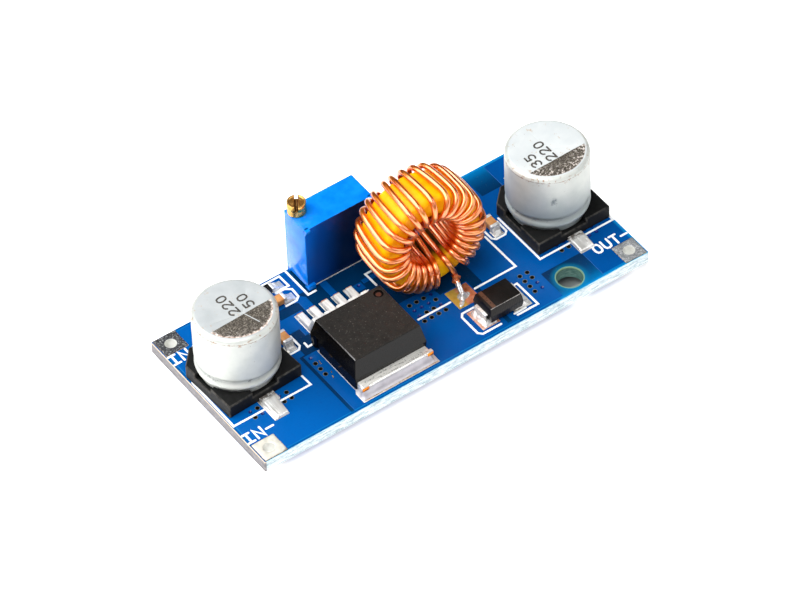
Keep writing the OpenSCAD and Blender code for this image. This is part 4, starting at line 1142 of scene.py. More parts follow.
# ---------------------------------------------------------------- printing on the board
GLYPH = {
    "I": ([[(0.0, 1), (0.62, 1)], [(0.31, 1), (0.31, 0)], [(0.0, 0), (0.62, 0)]], 0.62),
    "N": ([[(0, 0), (0, 1), (0.66, 0), (0.66, 1)]], 0.66),
    "O": ([[(0.33, 0), (0.12, 0.06), (0, 0.3), (0, 0.7), (0.12, 0.94), (0.33, 1)], [(0.33, 1), (0.54, 0.94), (0.66, 0.7), (0.66, 0.3), (0.54, 0.06), (0.33, 0)]], 0.66),
    "U": ([[(0, 1), (0, 0.28), (0.1, 0.07), (0.33, 0), (0.56, 0.07), (0.66, 0.28), (0.66, 1)]], 0.66),
    "T": ([[(0, 1), (0.66, 1)], [(0.33, 1), (0.33, 0)]], 0.66),
    "-": ([[(0, 0.5), (0.66, 0.5)]], 0.66),
    "+": ([[(0, 0.5), (0.66, 0.5)], [(0.33, 0.83), (0.33, 0.17)]], 0.66),
    "2": ([curve([(0.02, 0.76), (0.14, 0.95), (0.34, 1), (0.54, 0.9), (0.58, 0.7), (0.44, 0.46), (0.02, 0.0)], 4), [(0.02, 0.0), (0.62, 0.0)]], 0.62),
    "0": ([curve([(0.31, 0), (0.1, 0.12), (0.02, 0.5), (0.1, 0.88), (0.31, 1)], 4), curve([(0.31, 1), (0.52, 0.88), (0.6, 0.5), (0.52, 0.12), (0.31, 0)], 4)], 0.62),
    "5": ([[(0.56, 1), (0.1, 1), (0.06, 0.56)], curve([(0.06, 0.56), (0.3, 0.63), (0.54, 0.5), (0.58, 0.28), (0.42, 0.05), (0.2, 0.0), (0.02, 0.1)], 4)], 0.6),
    "3": ([curve([(0.04, 0.86), (0.2, 0.99), (0.42, 0.97), (0.55, 0.78), (0.46, 0.6), (0.26, 0.54)], 4), curve([(0.26, 0.54), (0.5, 0.46), (0.58, 0.26), (0.42, 0.03), (0.18, 0.0), (0.02, 0.12)], 4)], 0.6),
}


def write(text, at, size, gap=0.34, turn=0.0, wide=1.0):
    """Stroke lettering from a lower left corner; returns its lines."""
    out, x = [], 0.0
    s, k = math.sin(math.radians(turn)), math.cos(math.radians(turn))
    for ch in text:
        strokes, w = GLYPH[ch]
        for st in strokes:
            out.append([(at[0] + ((x + a) * wide * k - b * s) * size, at[1] + ((x + a) * wide * s + b * k) * size) for a, b in st])
        x += w + gap
    return out


def silk():
    W = 0.27
    lines = [
        [(-22.54, -4.9), (-26.72, -4.9), (-26.72, 3.4)], [(-20.26, -4.9), (-16.12, -4.9), (-16.18, -3.24)],
        [(16.27, 3.32), (16.27, -4.86), (20.48, -4.86)], [(22.78, -4.86), (26.79, -4.86), (26.79, 3.3)],
        [(5.9, -6.4), (4.05, -6.4), (3.66, -6.84), (3.66, -9.92), (4.08, -10.37), (6.65, -10.37)],
        [(11.25, -6.36), (11.84, -6.36), (11.88, -10.38), (9.0, -10.38)], [(8.83, -10.02), (10.4, -10.0)],
        [(0.4, 5.4), (-1.25, 5.38), (-1.22, 3.23)], [(13.28, 1.84), (13.33, -4.06), (7.5, -4.08)], [(-0.52, -4.12), (3.98, -4.14)],
        [(-8.36, 11.3), (-8.36, 6.7), (-7.3, 6.72)], [(-6.9, 7.48), (1.2, 7.5)], [(1.95, 11.3), (1.95, 6.72), (0.9, 6.72)],
        [(-13.2, 11.07), (-9.4, 11.08), (-9.36, 9.24), (-11.2, 9.22)],
        [(-11.4, 6.76), (-9.95, 6.76), (-9.42, 7.2), (-9.36, 8.55), (-10.05, 9.08), (-11.2, 9.06)],
        [(-13.76, 2.6), (-13.72, 0.75), (-14.1, 0.3), (-15.3, 0.27), (-15.75, 0.7), (-15.78, 2.3)],
        [(13.72, 2.75), (13.74, 1.15), (14.1, 0.76), (15.4, 0.76), (15.82, 1.15), (15.84, 3.0)],
        [(-12.3, 0.05), (-13.05, 0.05), (-13.05, 0.75)],
    ]
    for x0, x1 in ((-10.48, -10.08), (-8.78, -8.36), (-7.06, -6.66), (-5.36, -4.96), (-3.66, -2.4)):
        lines.append([(x0, 3.13), (x1, 3.13)])
    THIN = [i for i, ln in enumerate(lines) if ln[0] == (-6.9, 7.48) or ln[0][1] == 3.13]
    lines += write("IN-", (-26.86, -8.1), 1.4, 0.36, wide=1.02)
    lines += write("IN+", (-26.82, 6.86), 1.4, 0.36, wide=1.02)
    lines += write("OUT-", (22.12, -8.22), 1.36, 0.33, wide=0.94)
    lines += write("OUT+", (22.8, 6.86), 1.36, 0.26, wide=0.8)
    bag = Bag()
    for k, ln in enumerate(lines):
        v, f = slab(ribbon(ln, 0.14 if k in THIN else W), top=Z_MASK + 0.022 + 0.0004 * (k % 9), bottom=Z_TOP - 0.01, step=None, rims=())
        bag.add(v, f)
    make("board_lettering", bag.v, bag.f, [M["silk"]], angle=30.0)


silk()


# ---------------------------------------------------------------- wire pads and lands
def ring_tube(x, y, r0, r1, z0, z1, n=40):
    return moved(lathe([(r0, z0), (r1, z0), (r1, z1), (r0, z1)], n, closed=True)[0], x, y), lathe([(r0, z0), (r1, z0), (r1, z1), (r0, z1)], n, closed=True)[1]


def wire_pads():
    bag = Bag()
    for k, (s, t) in enumerate(((-1, 1), (-1, -1), (1, -1), (1, 1))):
        x, y = s * WIRE[0], t * WIRE[1]
        out = rect(x - 1.47, x + 1.47, y - 1.42, y + 1.42, 0.1, 3)
        hole = circle(x, y, 0.73, 40)
        tilt = (0.012, -0.02, 0.016, -0.01)[k]

        def crown(P, d):
            lean = tilt * (P[:, 0] - x) * 0.5 + 0.006 * np.sin(P[:, 0] * 3.1 + k) * np.cos(P[:, 1] * 2.7)
            lip = 0.02 * np.exp(-np.maximum(np.hypot(P[:, 0] - x, P[:, 1] - y) - 0.73, 0) / 0.12)
            return Z_LAND + (0.045 + lean) * (1 - np.exp(-d / 0.12)) + lip * np.clip(d / 0.05, 0, 1)

        v, f = slab(out, [hole], crown, Z_TOP - 0.01, 0.28, (0.03, 0.08, 0.16, 0.3))
        bag.add(v, f, 0)
        v, f = slab(out, [hole], lambda P, d: np.full(len(P), Z_BOT + 0.01), lambda P, d: Z_BOT - 0.05 - 0.02 * (1 - np.exp(-d / 0.12)), 0.4, (0.05, 0.15))
        bag.add(v, f, 0)
        v, f = ring_tube(x, y, 0.725, 0.775, Z_BOT - 0.04, Z_LAND - 0.005)
        bag.add(v, f, 2)
        edge = rect(x - 1.52, x + 1.52, y - 1.47, y + 1.47, 0.12, 3)
        v, f = slab(edge, [grow(out, -0.15)], Z_TOP + 0.036, Z_TOP - 0.01, None, (0.02,))
        bag.add(v, f, 1)
    make("wire_pads_tinned", bag.v, bag.f, [M["pad"], M["rim_gold"], M["plated"]], bag.m, hides=("wire_pads",))


wire_pads()


def flat_land(bag, poly, mat, holes=(), top=Z_LAND, step=0.5):
    v, f = slab(poly, holes, lambda P, d: top - 0.018 * np.exp(-d / 0.03), Z_TOP - 0.01, step, (0.03, 0.09))
    bag.add(v, f, mat)


def under_land(bag, poly, mat, holes=()):
    v, f = slab(poly, holes, lambda P, d: np.full(len(P), Z_BOT + 0.01), lambda P, d: Z_BOT - 0.05 + 0.018 * np.exp(-d / 0.03), 0.5, (0.03, 0.09))
    bag.add(v, f, mat)


def lands():
    bag = Bag()
    flat_land(bag, [(-12.88, -10.85), (-2.3, -10.85), (-2.3, -1.1), (-12.585, -1.1), (-12.585, -8.75), (-12.88, -9.2)], 0)
    for i in range(-2, 3):
        flat_land(bag, rect(lead_x(i) - 0.55, lead_x(i) + 0.55, 1.55, 4.85, 0.08), 0)
    for c, reach in ((IN_CAP, 8.75), (OUT_CAP, 7.85)):
        flat_land(bag, rect(c[0] - 1.0, c[0] + 1.0, c[1] - reach, c[1] - 3.2, 0.08), 0)
        flat_land(bag, rect(c[0] - 1.0, c[0] + 1.0, c[1] + 3.2, c[1] + 7.45, 0.08), 0)
    flat_land(bag, rect(DIODE[0] - 3.5, DIODE[0] - 1.05, DIODE[1] - 1.85, DIODE[1] + 1.45, 0.08), 2)
    flat_land(bag, rect(DIODE[0] + 1.05, DIODE[0] + 3.5, DIODE[1] - 1.85, DIODE[1] + 1.45, 0.08), 0)
    for p in (RESISTOR, BYPASS):
        for s in (-1, 1):
            flat_land(bag, rect(p[0] + s * 1.4 - 0.85, p[0] + s * 1.4 + 0.85, p[1] - 0.6, p[1] + 0.6, 0.07), 0)
    for p in (IN_CHIP, OUT_CHIP):
        for s in (-1, 1):
            flat_land(bag, rect(p[0] - 0.65, p[0] + 0.65, p[1] + s * 1.2 - 0.6, p[1] + s * 1.2 + 0.6, 0.07), 0)
    for c, y0, y1 in ((COIL_F, -5.7, -2.65), (COIL_B, 4.4, 7.4)):
        flat_land(bag, rect(4.2, 7.25, y0, y1, 0.06), 1, [circle(c[0], c[1], 0.45, 24)], step=0.35)
        under_land(bag, rect(4.2, 7.25, y0, y1, 0.06), 1, [circle(c[0], c[1], 0.45, 24)])
        v, f = ring_tube(c[0], c[1], 0.445, 0.5, Z_BOT - 0.04, Z_LAND - 0.005, 24)
        bag.add(v, f, 0)
    for x in PINS:
        flat_land(bag, rect(x - 0.8, x + 0.8, PIN_Y - 0.9, PIN_Y + 0.9, 0.2), 0, [circle(x, PIN_Y, 0.35, 20)])
        under_land(bag, rect(x - 0.8, x + 0.8, PIN_Y - 0.9, PIN_Y + 0.9, 0.2), 0, [circle(x, PIN_Y, 0.35, 20)])
        v, f = ring_tube(x, PIN_Y, 0.345, 0.4, Z_BOT - 0.04, Z_LAND - 0.005, 20)
        bag.add(v, f, 0)
    v, f = slab(wobble(rect(-12.72, -2.46, -10.74, -10.66), 0.03, 5), (), Z_LAND + 0.03, Z_TOP, None, ())
    bag.add(v, f, 3)
    for ln in ([(-13.36, -3.05), (-13.28, -2.45)], [(-13.46, -5.65), (-13.36, -5.25)], [(-13.18, -4.86), (-13.08, -4.66)]):
        v, f = slab(ribbon(ln, 0.11, 4), (), Z_MASK + 0.008, Z_TOP, None, ())
        bag.add(v, f, 3)
    make("component_lands_plated", bag.v, bag.f, [M["land"], M["gold"], M["diode_land"], M["rim_gold"]], bag.m, hides=("component_lands",))


lands()


# ---------------------------------------------------------------- solder
def ripple(P, a=0.008, k=1.0):
    return a * (np.sin(P[:, 0] * 4.1 * k + 0.7) * np.cos(P[:, 1] * 3.3 * k - 0.4) + 0.6 * np.sin(P[:, 0] * 7.7 * k - P[:, 1] * 6.1 * k))


def skin(d, h=0.05, k=0.09):
    return h * (1 - np.exp(-d / k))


def solder():
    # regulator: under the tab, and one fillet at each foot
    bag = Bag()

    def tab_top(P, d):
        dx = np.maximum(np.maximum(-12.4 - P[:, 0], P[:, 0] + 3.0), 0)
        dy = np.maximum(TAB_FRONT - P[:, 1], 0)
        side = 0.3 * np.clip(1 - dx / 0.4, 0, 1) ** 2.1
        front = 1.0 * np.clip(1 - dy / 0.6, 0, 1) ** 1.8 * np.clip(1 - dx / 0.35, 0, 1) ** 1.5
        t = np.clip((P[:, 1] - TAB_FRONT) / 0.3, 0, 1)
        rise = np.where(dx > 0, front * (1 - t) + side * t, front)
        rise = np.where((dx <= 0) & (P[:, 1] > TAB_FRONT + 0.3), 0.05, rise)
        streak = 0.005 * np.sin(P[:, 0] * 9.3) * np.sin(P[:, 0] * 3.1 + 1.0) * np.clip(dy / 0.15, 0, 1) * np.clip((0.6 - dy) / 0.2, 0, 1)
        return Z_LAND + 0.012 + skin(d, 0.05, 0.07) + rise + streak + ripple(P, 0.004) * np.clip(d / 0.1, 0, 1)

    v, f = slab(wobble([(-12.78, -10.66), (-2.42, -10.66), (-2.42, -1.2), (-12.56, -1.2), (-12.56, -8.8), (-12.78, -9.2)], 0.02, 3), (), tab_top, Z_LAND - 0.03, 0.1, (0.04, 0.1, 0.18))
    bag.add(v, f, 1)
    for i in range(-2, 3):
        x = lead_x(i)

        def foot_top(P, d, x=x):
            away = np.maximum(sd_box(P, x - 0.4, x + 0.4, 1.75, 4.5), 0)
            rise = np.where(away <= 0, 0.05, 0.34 * np.clip(1 - away / 0.3, 0, 1) ** 2)
            return Z_LAND + 0.012 + skin(d, 0.035, 0.05) + rise

        v, f = slab(wobble(rect(x - 0.5, x + 0.5, 1.6, 4.68, 0.1), 0.02, i + 5), (), foot_top, Z_LAND - 0.03, 0.12, (0.03, 0.07))
        bag.add(v, f)
    make("regulator_solder_joints", bag.v, bag.f, [M["solder"], M["solder_tab"]], bag.m, angle=50, hides=("regulator_solder",))

    # can capacitors: the terminal runs into a long flat joint
    bag = Bag()
    for c, reach, turn, seed in ((IN_CAP, 8.75, IN_TURN, 2), (OUT_CAP, 7.85, 0.0, 6)):
        for s in (-1, 1):
            far = reach if s < 0 else 7.45
            k, q = math.cos(math.radians(turn)), math.sin(math.radians(turn))

            def cap_top(P, d, s=s, c=c, k=k, q=q, far=far, seed=seed):
                X, Y = P[:, 0] - c[0], P[:, 1] - c[1]
                u, w = X * k + Y * q, (-X * q + Y * k) * s
                side = np.clip((1.02 - np.abs(u)) / 0.16, 0, 1)
                toe = np.clip((far - 0.1 - w) / 0.4, 0, 1)
                h = (Z_SEAT + 0.365 - Z_LAND - 0.2 * np.clip((w - 6.0) / (far - 6.4), 0, 1)) * np.sqrt(np.maximum(side * (2 - side) * toe * (2 - toe), 0))
                h = np.minimum(h, 0.28 + 0.2 * np.clip((w - 5.6) / 0.35, 0, 1))
                return Z_LAND + 0.01 + skin(d, 0.06, 0.07) + np.maximum(h, 0) + ripple(P, 0.003, 0.6) * np.clip(d / 0.15, 0, 1)

            poly = rect(c[0] - 0.97, c[0] + 0.97, *sorted((c[1] + s * 3.3, c[1] + s * (far - 0.06))), 0.12)
            v, f = slab(wobble(poly, 0.03, seed + s), (), cap_top, Z_LAND - 0.03, 0.13, (0.03, 0.08, 0.15))
            bag.add(v, f)
    make("capacitor_solder_joints", bag.v, bag.f, [M["solder_flat"]], angle=66, hides=("capacitor_solder",))

    # diode
    bag = Bag()
    for s in (-1, 1):
        def end_top(P, d, s=s):
            u = (P[:, 0] - DIODE[0]) * s
            w = np.abs(P[:, 1] - DIODE[1])
            away = np.maximum(np.hypot(np.maximum(u - 2.65, 0), np.maximum(w - 1.05, 0)), 0)
            rise = (0.4 if s < 0 else 0.55) * np.clip(1 - away / 0.62, 0, 1) ** 1.9
            rise = np.where(u < 2.6, np.minimum(rise, 0.2), rise)
            return Z_LAND + 0.012 + skin(d, 0.06, 0.09) + rise + ripple(P, 0.016, 1.3) * np.clip(d / 0.12, 0, 1)

        x0, x1 = sorted((DIODE[0] + s * 1.2, DIODE[0] + s * (3.22 if s < 0 else 3.4)))
        v, f = slab(wobble(rect(x0, x1, DIODE[1] - 1.7, DIODE[1] + 1.22, 0.3), 0.1, 9 + s), (), end_top, Z_LAND - 0.03, 0.12, (0.04, 0.1))
        bag.add(v, f)
    make("diode_solder_joints", bag.v, bag.f, [M["solder"]], angle=50, hides=("diode_solder",))

    # chip parts
    bag = Bag()
    for p, turn, far, high in ((RESISTOR, 0, 2.2, 0.5), (BYPASS, 0, 2.2, 0.62), (IN_CHIP, 90, 1.74, 0.62), (OUT_CHIP, 90, 1.74, 0.62)):
        for s in (-1, 1):
            def chip_top(P, d, p=p, turn=turn, s=s, far=far, high=high):
                u = ((P[:, 1] - p[1]) if turn else (P[:, 0] - p[0])) * s
                w = np.abs((P[:, 0] - p[0]) if turn else (P[:, 1] - p[1]))
                away = np.hypot(np.maximum(u - 1.0, 0), np.maximum(w - 0.5, 0) * 0.8)
                rise = high * np.clip(1 - away / (far - 1.0), 0, 1) ** 2.0
                rise = np.where(u < 0.95, np.minimum(rise, 0.15), rise)
                return Z_LAND + 0.012 + skin(d, 0.05, 0.07) + rise + ripple(P, 0.012, 1.6) * np.clip(d / 0.1, 0, 1)

            a, b = sorted((s * 0.6, s * (far - 0.02)))
            poly = rect(p[0] - 0.57, p[0] + 0.57, p[1] + a, p[1] + b, 0.14) if turn else rect(p[0] + a, p[0] + b, p[1] - 0.55, p[1] + 0.55, 0.14)
            v, f = slab(wobble(poly, 0.03, 4 + s + turn), (), chip_top, Z_LAND - 0.03, 0.1, (0.03, 0.07))
            bag.add(v, f)
    make("chip_solder_joints", bag.v, bag.f, [M["solder"]], angle=50, hides=("chip_solder",))

    # inductor: a blob at each lead above, a cone below
    bag = Bag()

    def blob(P, d):
        r = np.hypot(P[:, 0] - 5.6, P[:, 1] + 4.3)
        tail = sd_path(P, [(5.55, -4.4), (5.1, -4.85), (4.62, -5.3)])
        h = 0.62 * np.exp(-(r / 0.42) ** 2) + 0.16 * np.exp(-(tail / 0.24) ** 2) + 0.2 * np.exp(-(np.hypot(P[:, 0] - 6.0, P[:, 1] + 4.15) / 0.3) ** 2)
        return Z_LAND + 0.006 + skin(d, 0.035, 0.09) + h + ripple(P, 0.014, 1.8) * np.clip(d / 0.12, 0, 1)

    out = curve([(5.0, -4.05), (5.35, -3.72), (5.9, -3.7), (6.5, -3.95), (6.62, -4.35), (6.1, -4.72), (5.55, -4.86), (5.2, -5.2), (4.75, -5.52), (4.45, -5.42), (4.62, -5.05), (4.95, -4.72), (5.02, -4.4), (5.0, -4.05)], 4)[:-1]
    v, f = slab(out, (), blob, Z_LAND - 0.03, 0.1, (0.03, 0.08))
    bag.add(v, f)

    def back_blob(P, d):
        r = np.hypot(P[:, 0] - COIL_B[0], P[:, 1] - COIL_B[1])
        return Z_LAND + 0.006 + skin(d, 0.05, 0.1) + 0.62 * np.exp(-(r / 0.55) ** 2) + ripple(P, 0.012, 1.5)

    v, f = slab(wobble(circle(COIL_B[0], COIL_B[1], 1.2, 40), 0.08, 8, 0.12), (), back_blob, Z_LAND - 0.03, 0.13, (0.04, 0.1))
    bag.add(v, f)
    for c in (COIL_F, COIL_B):
        prof = [(0.0, Z_BOT + 0.3), (0.43, Z_BOT + 0.3), (0.43, Z_BOT - 0.02), (1.25, Z_BOT - 0.04), (1.23, Z_BOT - 0.08), (0.98, Z_BOT - 0.17),
                (0.72, Z_BOT - 0.33), (0.52, Z_BOT - 0.55), (0.42, Z_BOT - 0.72), (0.34, Z_BOT - 0.78), (0.0, Z_BOT - 0.8)]
        v, f = lathe(prof, 40)
        bag.add(moved(v, c[0], c[1]), f)
    make("inductor_solder_joints", bag.v, bag.f, [M["solder_wire"]], angle=50, hides=("inductor_solder",))

    bag = Bag()
    for x in PINS:
        prof = [(0.24, Z_BOT + 1.2), (0.33, Z_BOT + 1.2), (0.33, Z_BOT - 0.02), (0.78, Z_BOT - 0.04), (0.77, Z_BOT - 0.08), (0.6, Z_BOT - 0.2),
                (0.46, Z_BOT - 0.4), (0.37, Z_BOT - 0.64), (0.3, Z_BOT - 0.75), (0.24, Z_BOT - 0.77)]
        v, f = lathe(prof, 32, closed=True)
        bag.add(moved(v, x, PIN_Y), f)
    make("trimmer_solder_joints", bag.v, bag.f, [M["solder_clean"]], angle=50, hides=("trimmer_solder",))


solder()


# ---------------------------------------------------------------- can capacitors
CAN_N = 160


def can(name, node, c, turn, scores, dents, score=0.03):
    prof = [(4.2, 3.85), (4.2, 1.0), (4.26, 0.95), (4.42, 0.95), (4.5, 1.03), (4.5, 1.7), (4.54, 1.86), (4.66, 1.93), (4.82, 2.0), (4.94, 2.13), (5.0, 2.33),
            (4.99, 2.5), (4.93, 2.64), (4.82, 2.76), (4.72, 2.88), (4.66, 3.0), (4.64, 3.12), (4.66, 3.24), (4.72, 3.36), (4.82, 3.48), (4.92, 3.58),
            (4.98, 3.7), (5.0, 3.86), (5.0, 5.2), (5.0, 6.6), (5.0, 8.0), (5.0, 9.2)]
    prof += [(4.4 + 0.6 * math.cos(t), 9.6 + 0.6 * math.sin(t)) for t in np.linspace(0, math.pi / 2, 9)]
    # finer bands where the wall has a dent
    fine = []
    for (r0, z0), (r1, z1) in zip(prof[:-1], prof[1:]):
        fine.append((r0, z0))
        if r0 == 5.0 and r1 == 5.0 and dents:
            fine += [(5.0, z0 + (z1 - z0) * k / 8) for k in range(1, 8)]
    fine.append(prof[-1])
    inner = [(0.0, 9.86), (4.2, 9.86), (4.62, 9.6), (4.67, 9.2), (4.67, 4.2), (4.4, 3.9)]
    v, f = lathe(fine, CAN_N)
    if dents:
        out = []
        for x, y, z in v:
            a = math.degrees(math.atan2(y, x))
            push = sum(depth * math.exp(-(((a - a0 + 180) % 360 - 180) / wide) ** 2 - ((z - z0) / tall) ** 2) for a0, z0, wide, tall, depth in dents)
            r = math.hypot(x, y)
            out.append((x * (1 - push / r), y * (1 - push / r), z) if r > 4.9 else (x, y, z))
        v = out
    bag = Bag()
    bag.add(v, f)
    ring = [(4.4 * math.cos(TAU * i / CAN_N), 4.4 * math.sin(TAU * i / CAN_N)) for i in range(CAN_N)]
    loops, paths = [ring], []
    for ln in scores:
        loops.append(ribbon(ln, 0.15, 4))
        paths.append(ln)
    G = [(r * math.cos(TAU * (i + 0.5 * k) / n), r * math.sin(TAU * (i + 0.5 * k) / n)) for k, (r, n) in enumerate(((1.2, 14), (2.4, 28), (3.6, 44))) for i in range(n)]
    V, F = cdt(loops, G, paths)
    F = F[sd_poly(V[F].mean(1), ring) < 0]
    z = np.full(len(V), 10.2)
    for ln in scores:
        z = np.minimum(z, 10.2 - score * np.clip(1 - sd_path(V, ln) / 0.073, 0, 1))
    r = np.hypot(V[:, 0], V[:, 1])
    z = np.where(r > 4.39, 10.2, z)
    bag.add([(p[0], p[1], q) for p, q in zip(V, z)], [tuple(t) for t in F])
    v, f = lathe([(4.2, 3.85)] + inner[::-1][:0] + [(4.4, 3.92), (4.67, 4.2), (4.67, 9.2), (4.62, 9.6), (4.2, 9.86), (0.0, 9.86)], CAN_N)
    bag.add(v, f)
    make(name, moved(bag.v, c[0], c[1], Z_SEAT, turn), bag.f, [M["can"]], angle=28, hides=(node,), merge=2e-3)


def ray(c0, deg, length, start=0.0):
    a = math.radians(deg)
    return [(c0[0] + start * math.cos(a), c0[1] + start * math.sin(a)), (c0[0] + length * math.cos(a), c0[1] + length * math.sin(a))]


can("input_capacitor_shell", "input_capacitor_can", IN_CAP, IN_TURN,
    [ray((0.42, -0.98), -74, 2.45), ray((0.42, -0.98), 46, 3.3), ray((0.42, -0.98), 166, 3.4)], [])
can("output_capacitor_shell", "output_capacitor_can", OUT_CAP, 0.0,
    [ray((0, 0), 90, 3.6), ray((0, 0), -28, 3.5), ray((0, 0), 210, 3.4)], [(-118.0, 6.4, 4.5, 0.55, 0.07), (-121.0, 5.7, 3.0, 0.35, 0.04)], 0.012)


def segment(c, turn, chord, r=4.39):
    """The printed part of a can's top, below a chord."""
    a0 = math.degrees(math.asin(chord / r))
    pts = [(r * math.cos(math.radians(a)), r * math.sin(math.radians(a))) for a in np.linspace(180 - a0, 360 + a0, 72)]
    return turned([(c[0] + x, c[1] + y) for x, y in pts], c, turn)


def can_tops():
    z0, z1 = Z_SEAT + 10.2 - 0.035, Z_SEAT + 10.2 + 0.007
    for name, c, turn, chord, mat, score in (("input_capacitor_print", IN_CAP, 1.9, -1.18, "print_in", True),
                                             ("output_capacitor_print", OUT_CAP, 0.6, -1.88, "print_out", None)):
        bag = Bag()
        shape = wobble(segment(c, turn, chord), 0.03, 5, 0.16)
        holes = []
        if score:
            holes = [ribbon(turned([(c[0] + x, c[1] + y) for x, y in ray((0.5, -1.3), -74, 2.05)], c, IN_TURN), 0.13, 4)]
        v, f = slab(shape, holes, z1, z0, None, ())
        bag.add(v, f, 0)
        if c is IN_CAP:
            lines = write("220", (-21.15, 1.05), 1.15, 0.3, 90 + 2, 1.15) + write("50", (-19.15, 1.05), 1.15, 0.35, 90 + 2, 1.15)
        else:
            lines = write("220", (21.75, -0.95), 1.15, 0.3, 90, 1.15) + write("35", (19.75, -0.8), 1.15, 0.3, 90, 1.15)
        for k, ln in enumerate(lines):
            v, f = slab(ribbon(ln, 0.22), (), z1 + 0.0003 * (k % 7), z0, None, ())
            bag.add(v, f, 1)
        make(name, bag.v, bag.f, [M[mat], M["ink"]], bag.m, angle=30)


can_tops()

for side in ("input", "output"):
    recast(side + "_capacitor_base", 0.17, M["base"], side + "_capacitor_foot_plate", segs=3, worn=M["base_worn"],
           pick=foot_edges(IN_CAP if side == "input" else OUT_CAP))
    recast(side + "_capacitor_terminals", 0.05, M["strap"], side + "_capacitor_tabs", segs=2)


# ---------------------------------------------------------------- regulator and diode
recast("regulator_case", 0.13, M["case"], "regulator_moulding", segs=3, angle=12.0, smooth=20.0, worn=M["case_edge"], pick=case_edges,
       edge_highlight_faces=lambda n, c: n.x < -0.2 and abs(n.y) < 0.3 and c.z > Z_SEAT + 4.15)


def lead_tin():
    s = tin("lead_tin", srgb(206, 204, 198), srgb(244, 242, 238), (0.3, 0.44), stretch=(3600, 700, 3600), grain=0.15, metal=0.22)
    base = s.b.inputs["Base Color"].links[0].from_socket
    tip = s.span(s.xyz(1), 0.00428, 0.00444)
    s.set(base=s.mix(s.mul(tip, 0.9), base, srgb(176, 106, 52)))
    return s.m


M["lead"] = lead_tin()
recast("regulator_leads", 0.05, M["lead"], "regulator_pins", segs=2)
# the diode's front top edge gets a painted highlight
recast("diode_case", 0.06, M["diode"], "diode_moulding_body", segs=3, angle=12.0, smooth=20.0, worn=M["diode_edge_painted_highlight"],
       edge_highlight_faces=lambda n, c: n.y < -0.2 and abs(n.x) < 0.3 and n.z > 0.3 and c.z > Z_SEAT + 1.7)
recast("diode_terminals", 0.05, M["tab"], "diode_straps", segs=2)


def heat_tab():
    """The tab, with the middle lead that belongs to it, and bare copper where its strip was cut."""
    bag = Bag()
    z0, z1 = Z_SEAT, Z_SEAT + 1.27
    yf, yb, xl, xr = TAB_FRONT, -1.7, -12.4, -3.0

    def plate(a, b, c, d, lo, hi, r):
        rows = [(rect(a + r, b - r, c + r, d - r, 0.05, 3), lo), (rect(a, b, c, d, 0.1, 3), lo + r), (rect(a, b, c, d, 0.1, 3), hi - r),
                (rect(a + 0.35 * r, b - 0.35 * r, c + 0.35 * r, d - 0.35 * r, 0.09, 3), hi - 0.3 * r), (rect(a + r, b - r, c + r, d - r, 0.06, 3), hi)]
        n = len(rows[0][0])
        v = [(x, y, z) for loop, z in rows for x, y in loop]
        f = [(k * n + i, k * n + (i + 1) % n, (k + 1) * n + (i + 1) % n, (k + 1) * n + i) for k in range(4) for i in range(n)]
        return v, f + [tuple(range(n))[::-1], tuple(range(4 * n, 5 * n))]

    v, f = plate(xl, xr, yf, yb, z0, z1, 0.07)
    bag.add(v, f, 0)
    for x0, x1 in ((xl - 0.17, xl + 0.8), (xr - 0.5, xr + 0.36)):
        v, f = plate(x0, x1, yf - 0.17, yf + 0.4, z1 - 0.56, z1 - 0.03, 0.05)
        ys = [np.mean([v[i][1] for i in t]) for t in f]
        bag.add(v, f, [1 if y < yf - 0.1 else 0 for y in ys])
    # the middle lead, cropped inside the case
    pts = [(yb - 0.3, 0.9), (yb - 0.3, 0.2), (0.4, 0.2), (0.4, 0.9)]
    v = [(REG_X + sx * 0.4, y, Z_SEAT + z) for sx in (-1, 1) for y, z in pts]
    bag.add(v, [(0, 1, 2, 3), (7, 6, 5, 4)] + [(i, i + 4, (i + 1) % 4 + 4, (i + 1) % 4) for i in range(4)], 0)
    prof = [(0.3, 0.85), (0.3, 0.25), (0.85, 0.5), (0.95, 2.0), (1.75, 0.0), (4.5, 0.0), (4.5, 0.5), (2.1, 0.5), (1.3, 2.5), (0.6, 2.3)]
    n = len(prof)
    v = [(REG_X + sx * 0.4, y, Z_SEAT + z) for sx in (-1, 1) for y, z in prof]
    bag.add(v, [tuple(range(n))[::-1], tuple(range(n, 2 * n))] + [(i, (i + 1) % n, (i + 1) % n + n, i + n) for i in range(n)], 2)
    make("regulator_heat_tab", bag.v, bag.f, [M["tab"], M["cut_copper"], M["lead"]], bag.m, angle=30, hides=("regulator_tab",))


heat_tab()


# ---------------------------------------------------------------- inductor
RO, RI, HALF, WIRE_R = 6.55, 3.75, 2.8, 0.36
GAP = WIRE_R + 0.05


def on_coil(r, a, h):
    a = math.radians(a)
    return CORE + r * math.cos(a) * CX + r * math.sin(a) * CY + h * CZ


def core():
    k = 0.75
    prof = []
    for cx, cz, a in ((RO - k, HALF - k, 0), (RI + k, HALF - k, 90), (RI + k, k - HALF, 180), (RO - k, k - HALF, 270)):
        prof += [(cx + k * math.cos(math.radians(a + 90 * i / 6)), cz + k * math.sin(math.radians(a + 90 * i / 6))) for i in range(7)]
    n = 144
    verts, faces = [], []
    for j in range(n):
        a = 360.0 * j / n
        for r, h in prof:
            u = math.radians(a)
            lumpy = 0.012 * math.sin(3 * u + h) + 0.008 * math.sin(11 * u + 2 * r + h)
            verts.append(on_coil(r + lumpy, a, h + 0.6 * lumpy))
    m = len(prof)
    for j in range(n):
        for i in range(m):
            a, b = j * m + i, j * m + (i + 1) % m
            c, d = ((j + 1) % n) * m + (i + 1) % m, ((j + 1) % n) * m + i
            faces.append((a, b, c, d))
    make("inductor_core_painted", verts, faces, [M["core"]], angle=50, hides=("inductor_core",))


core()

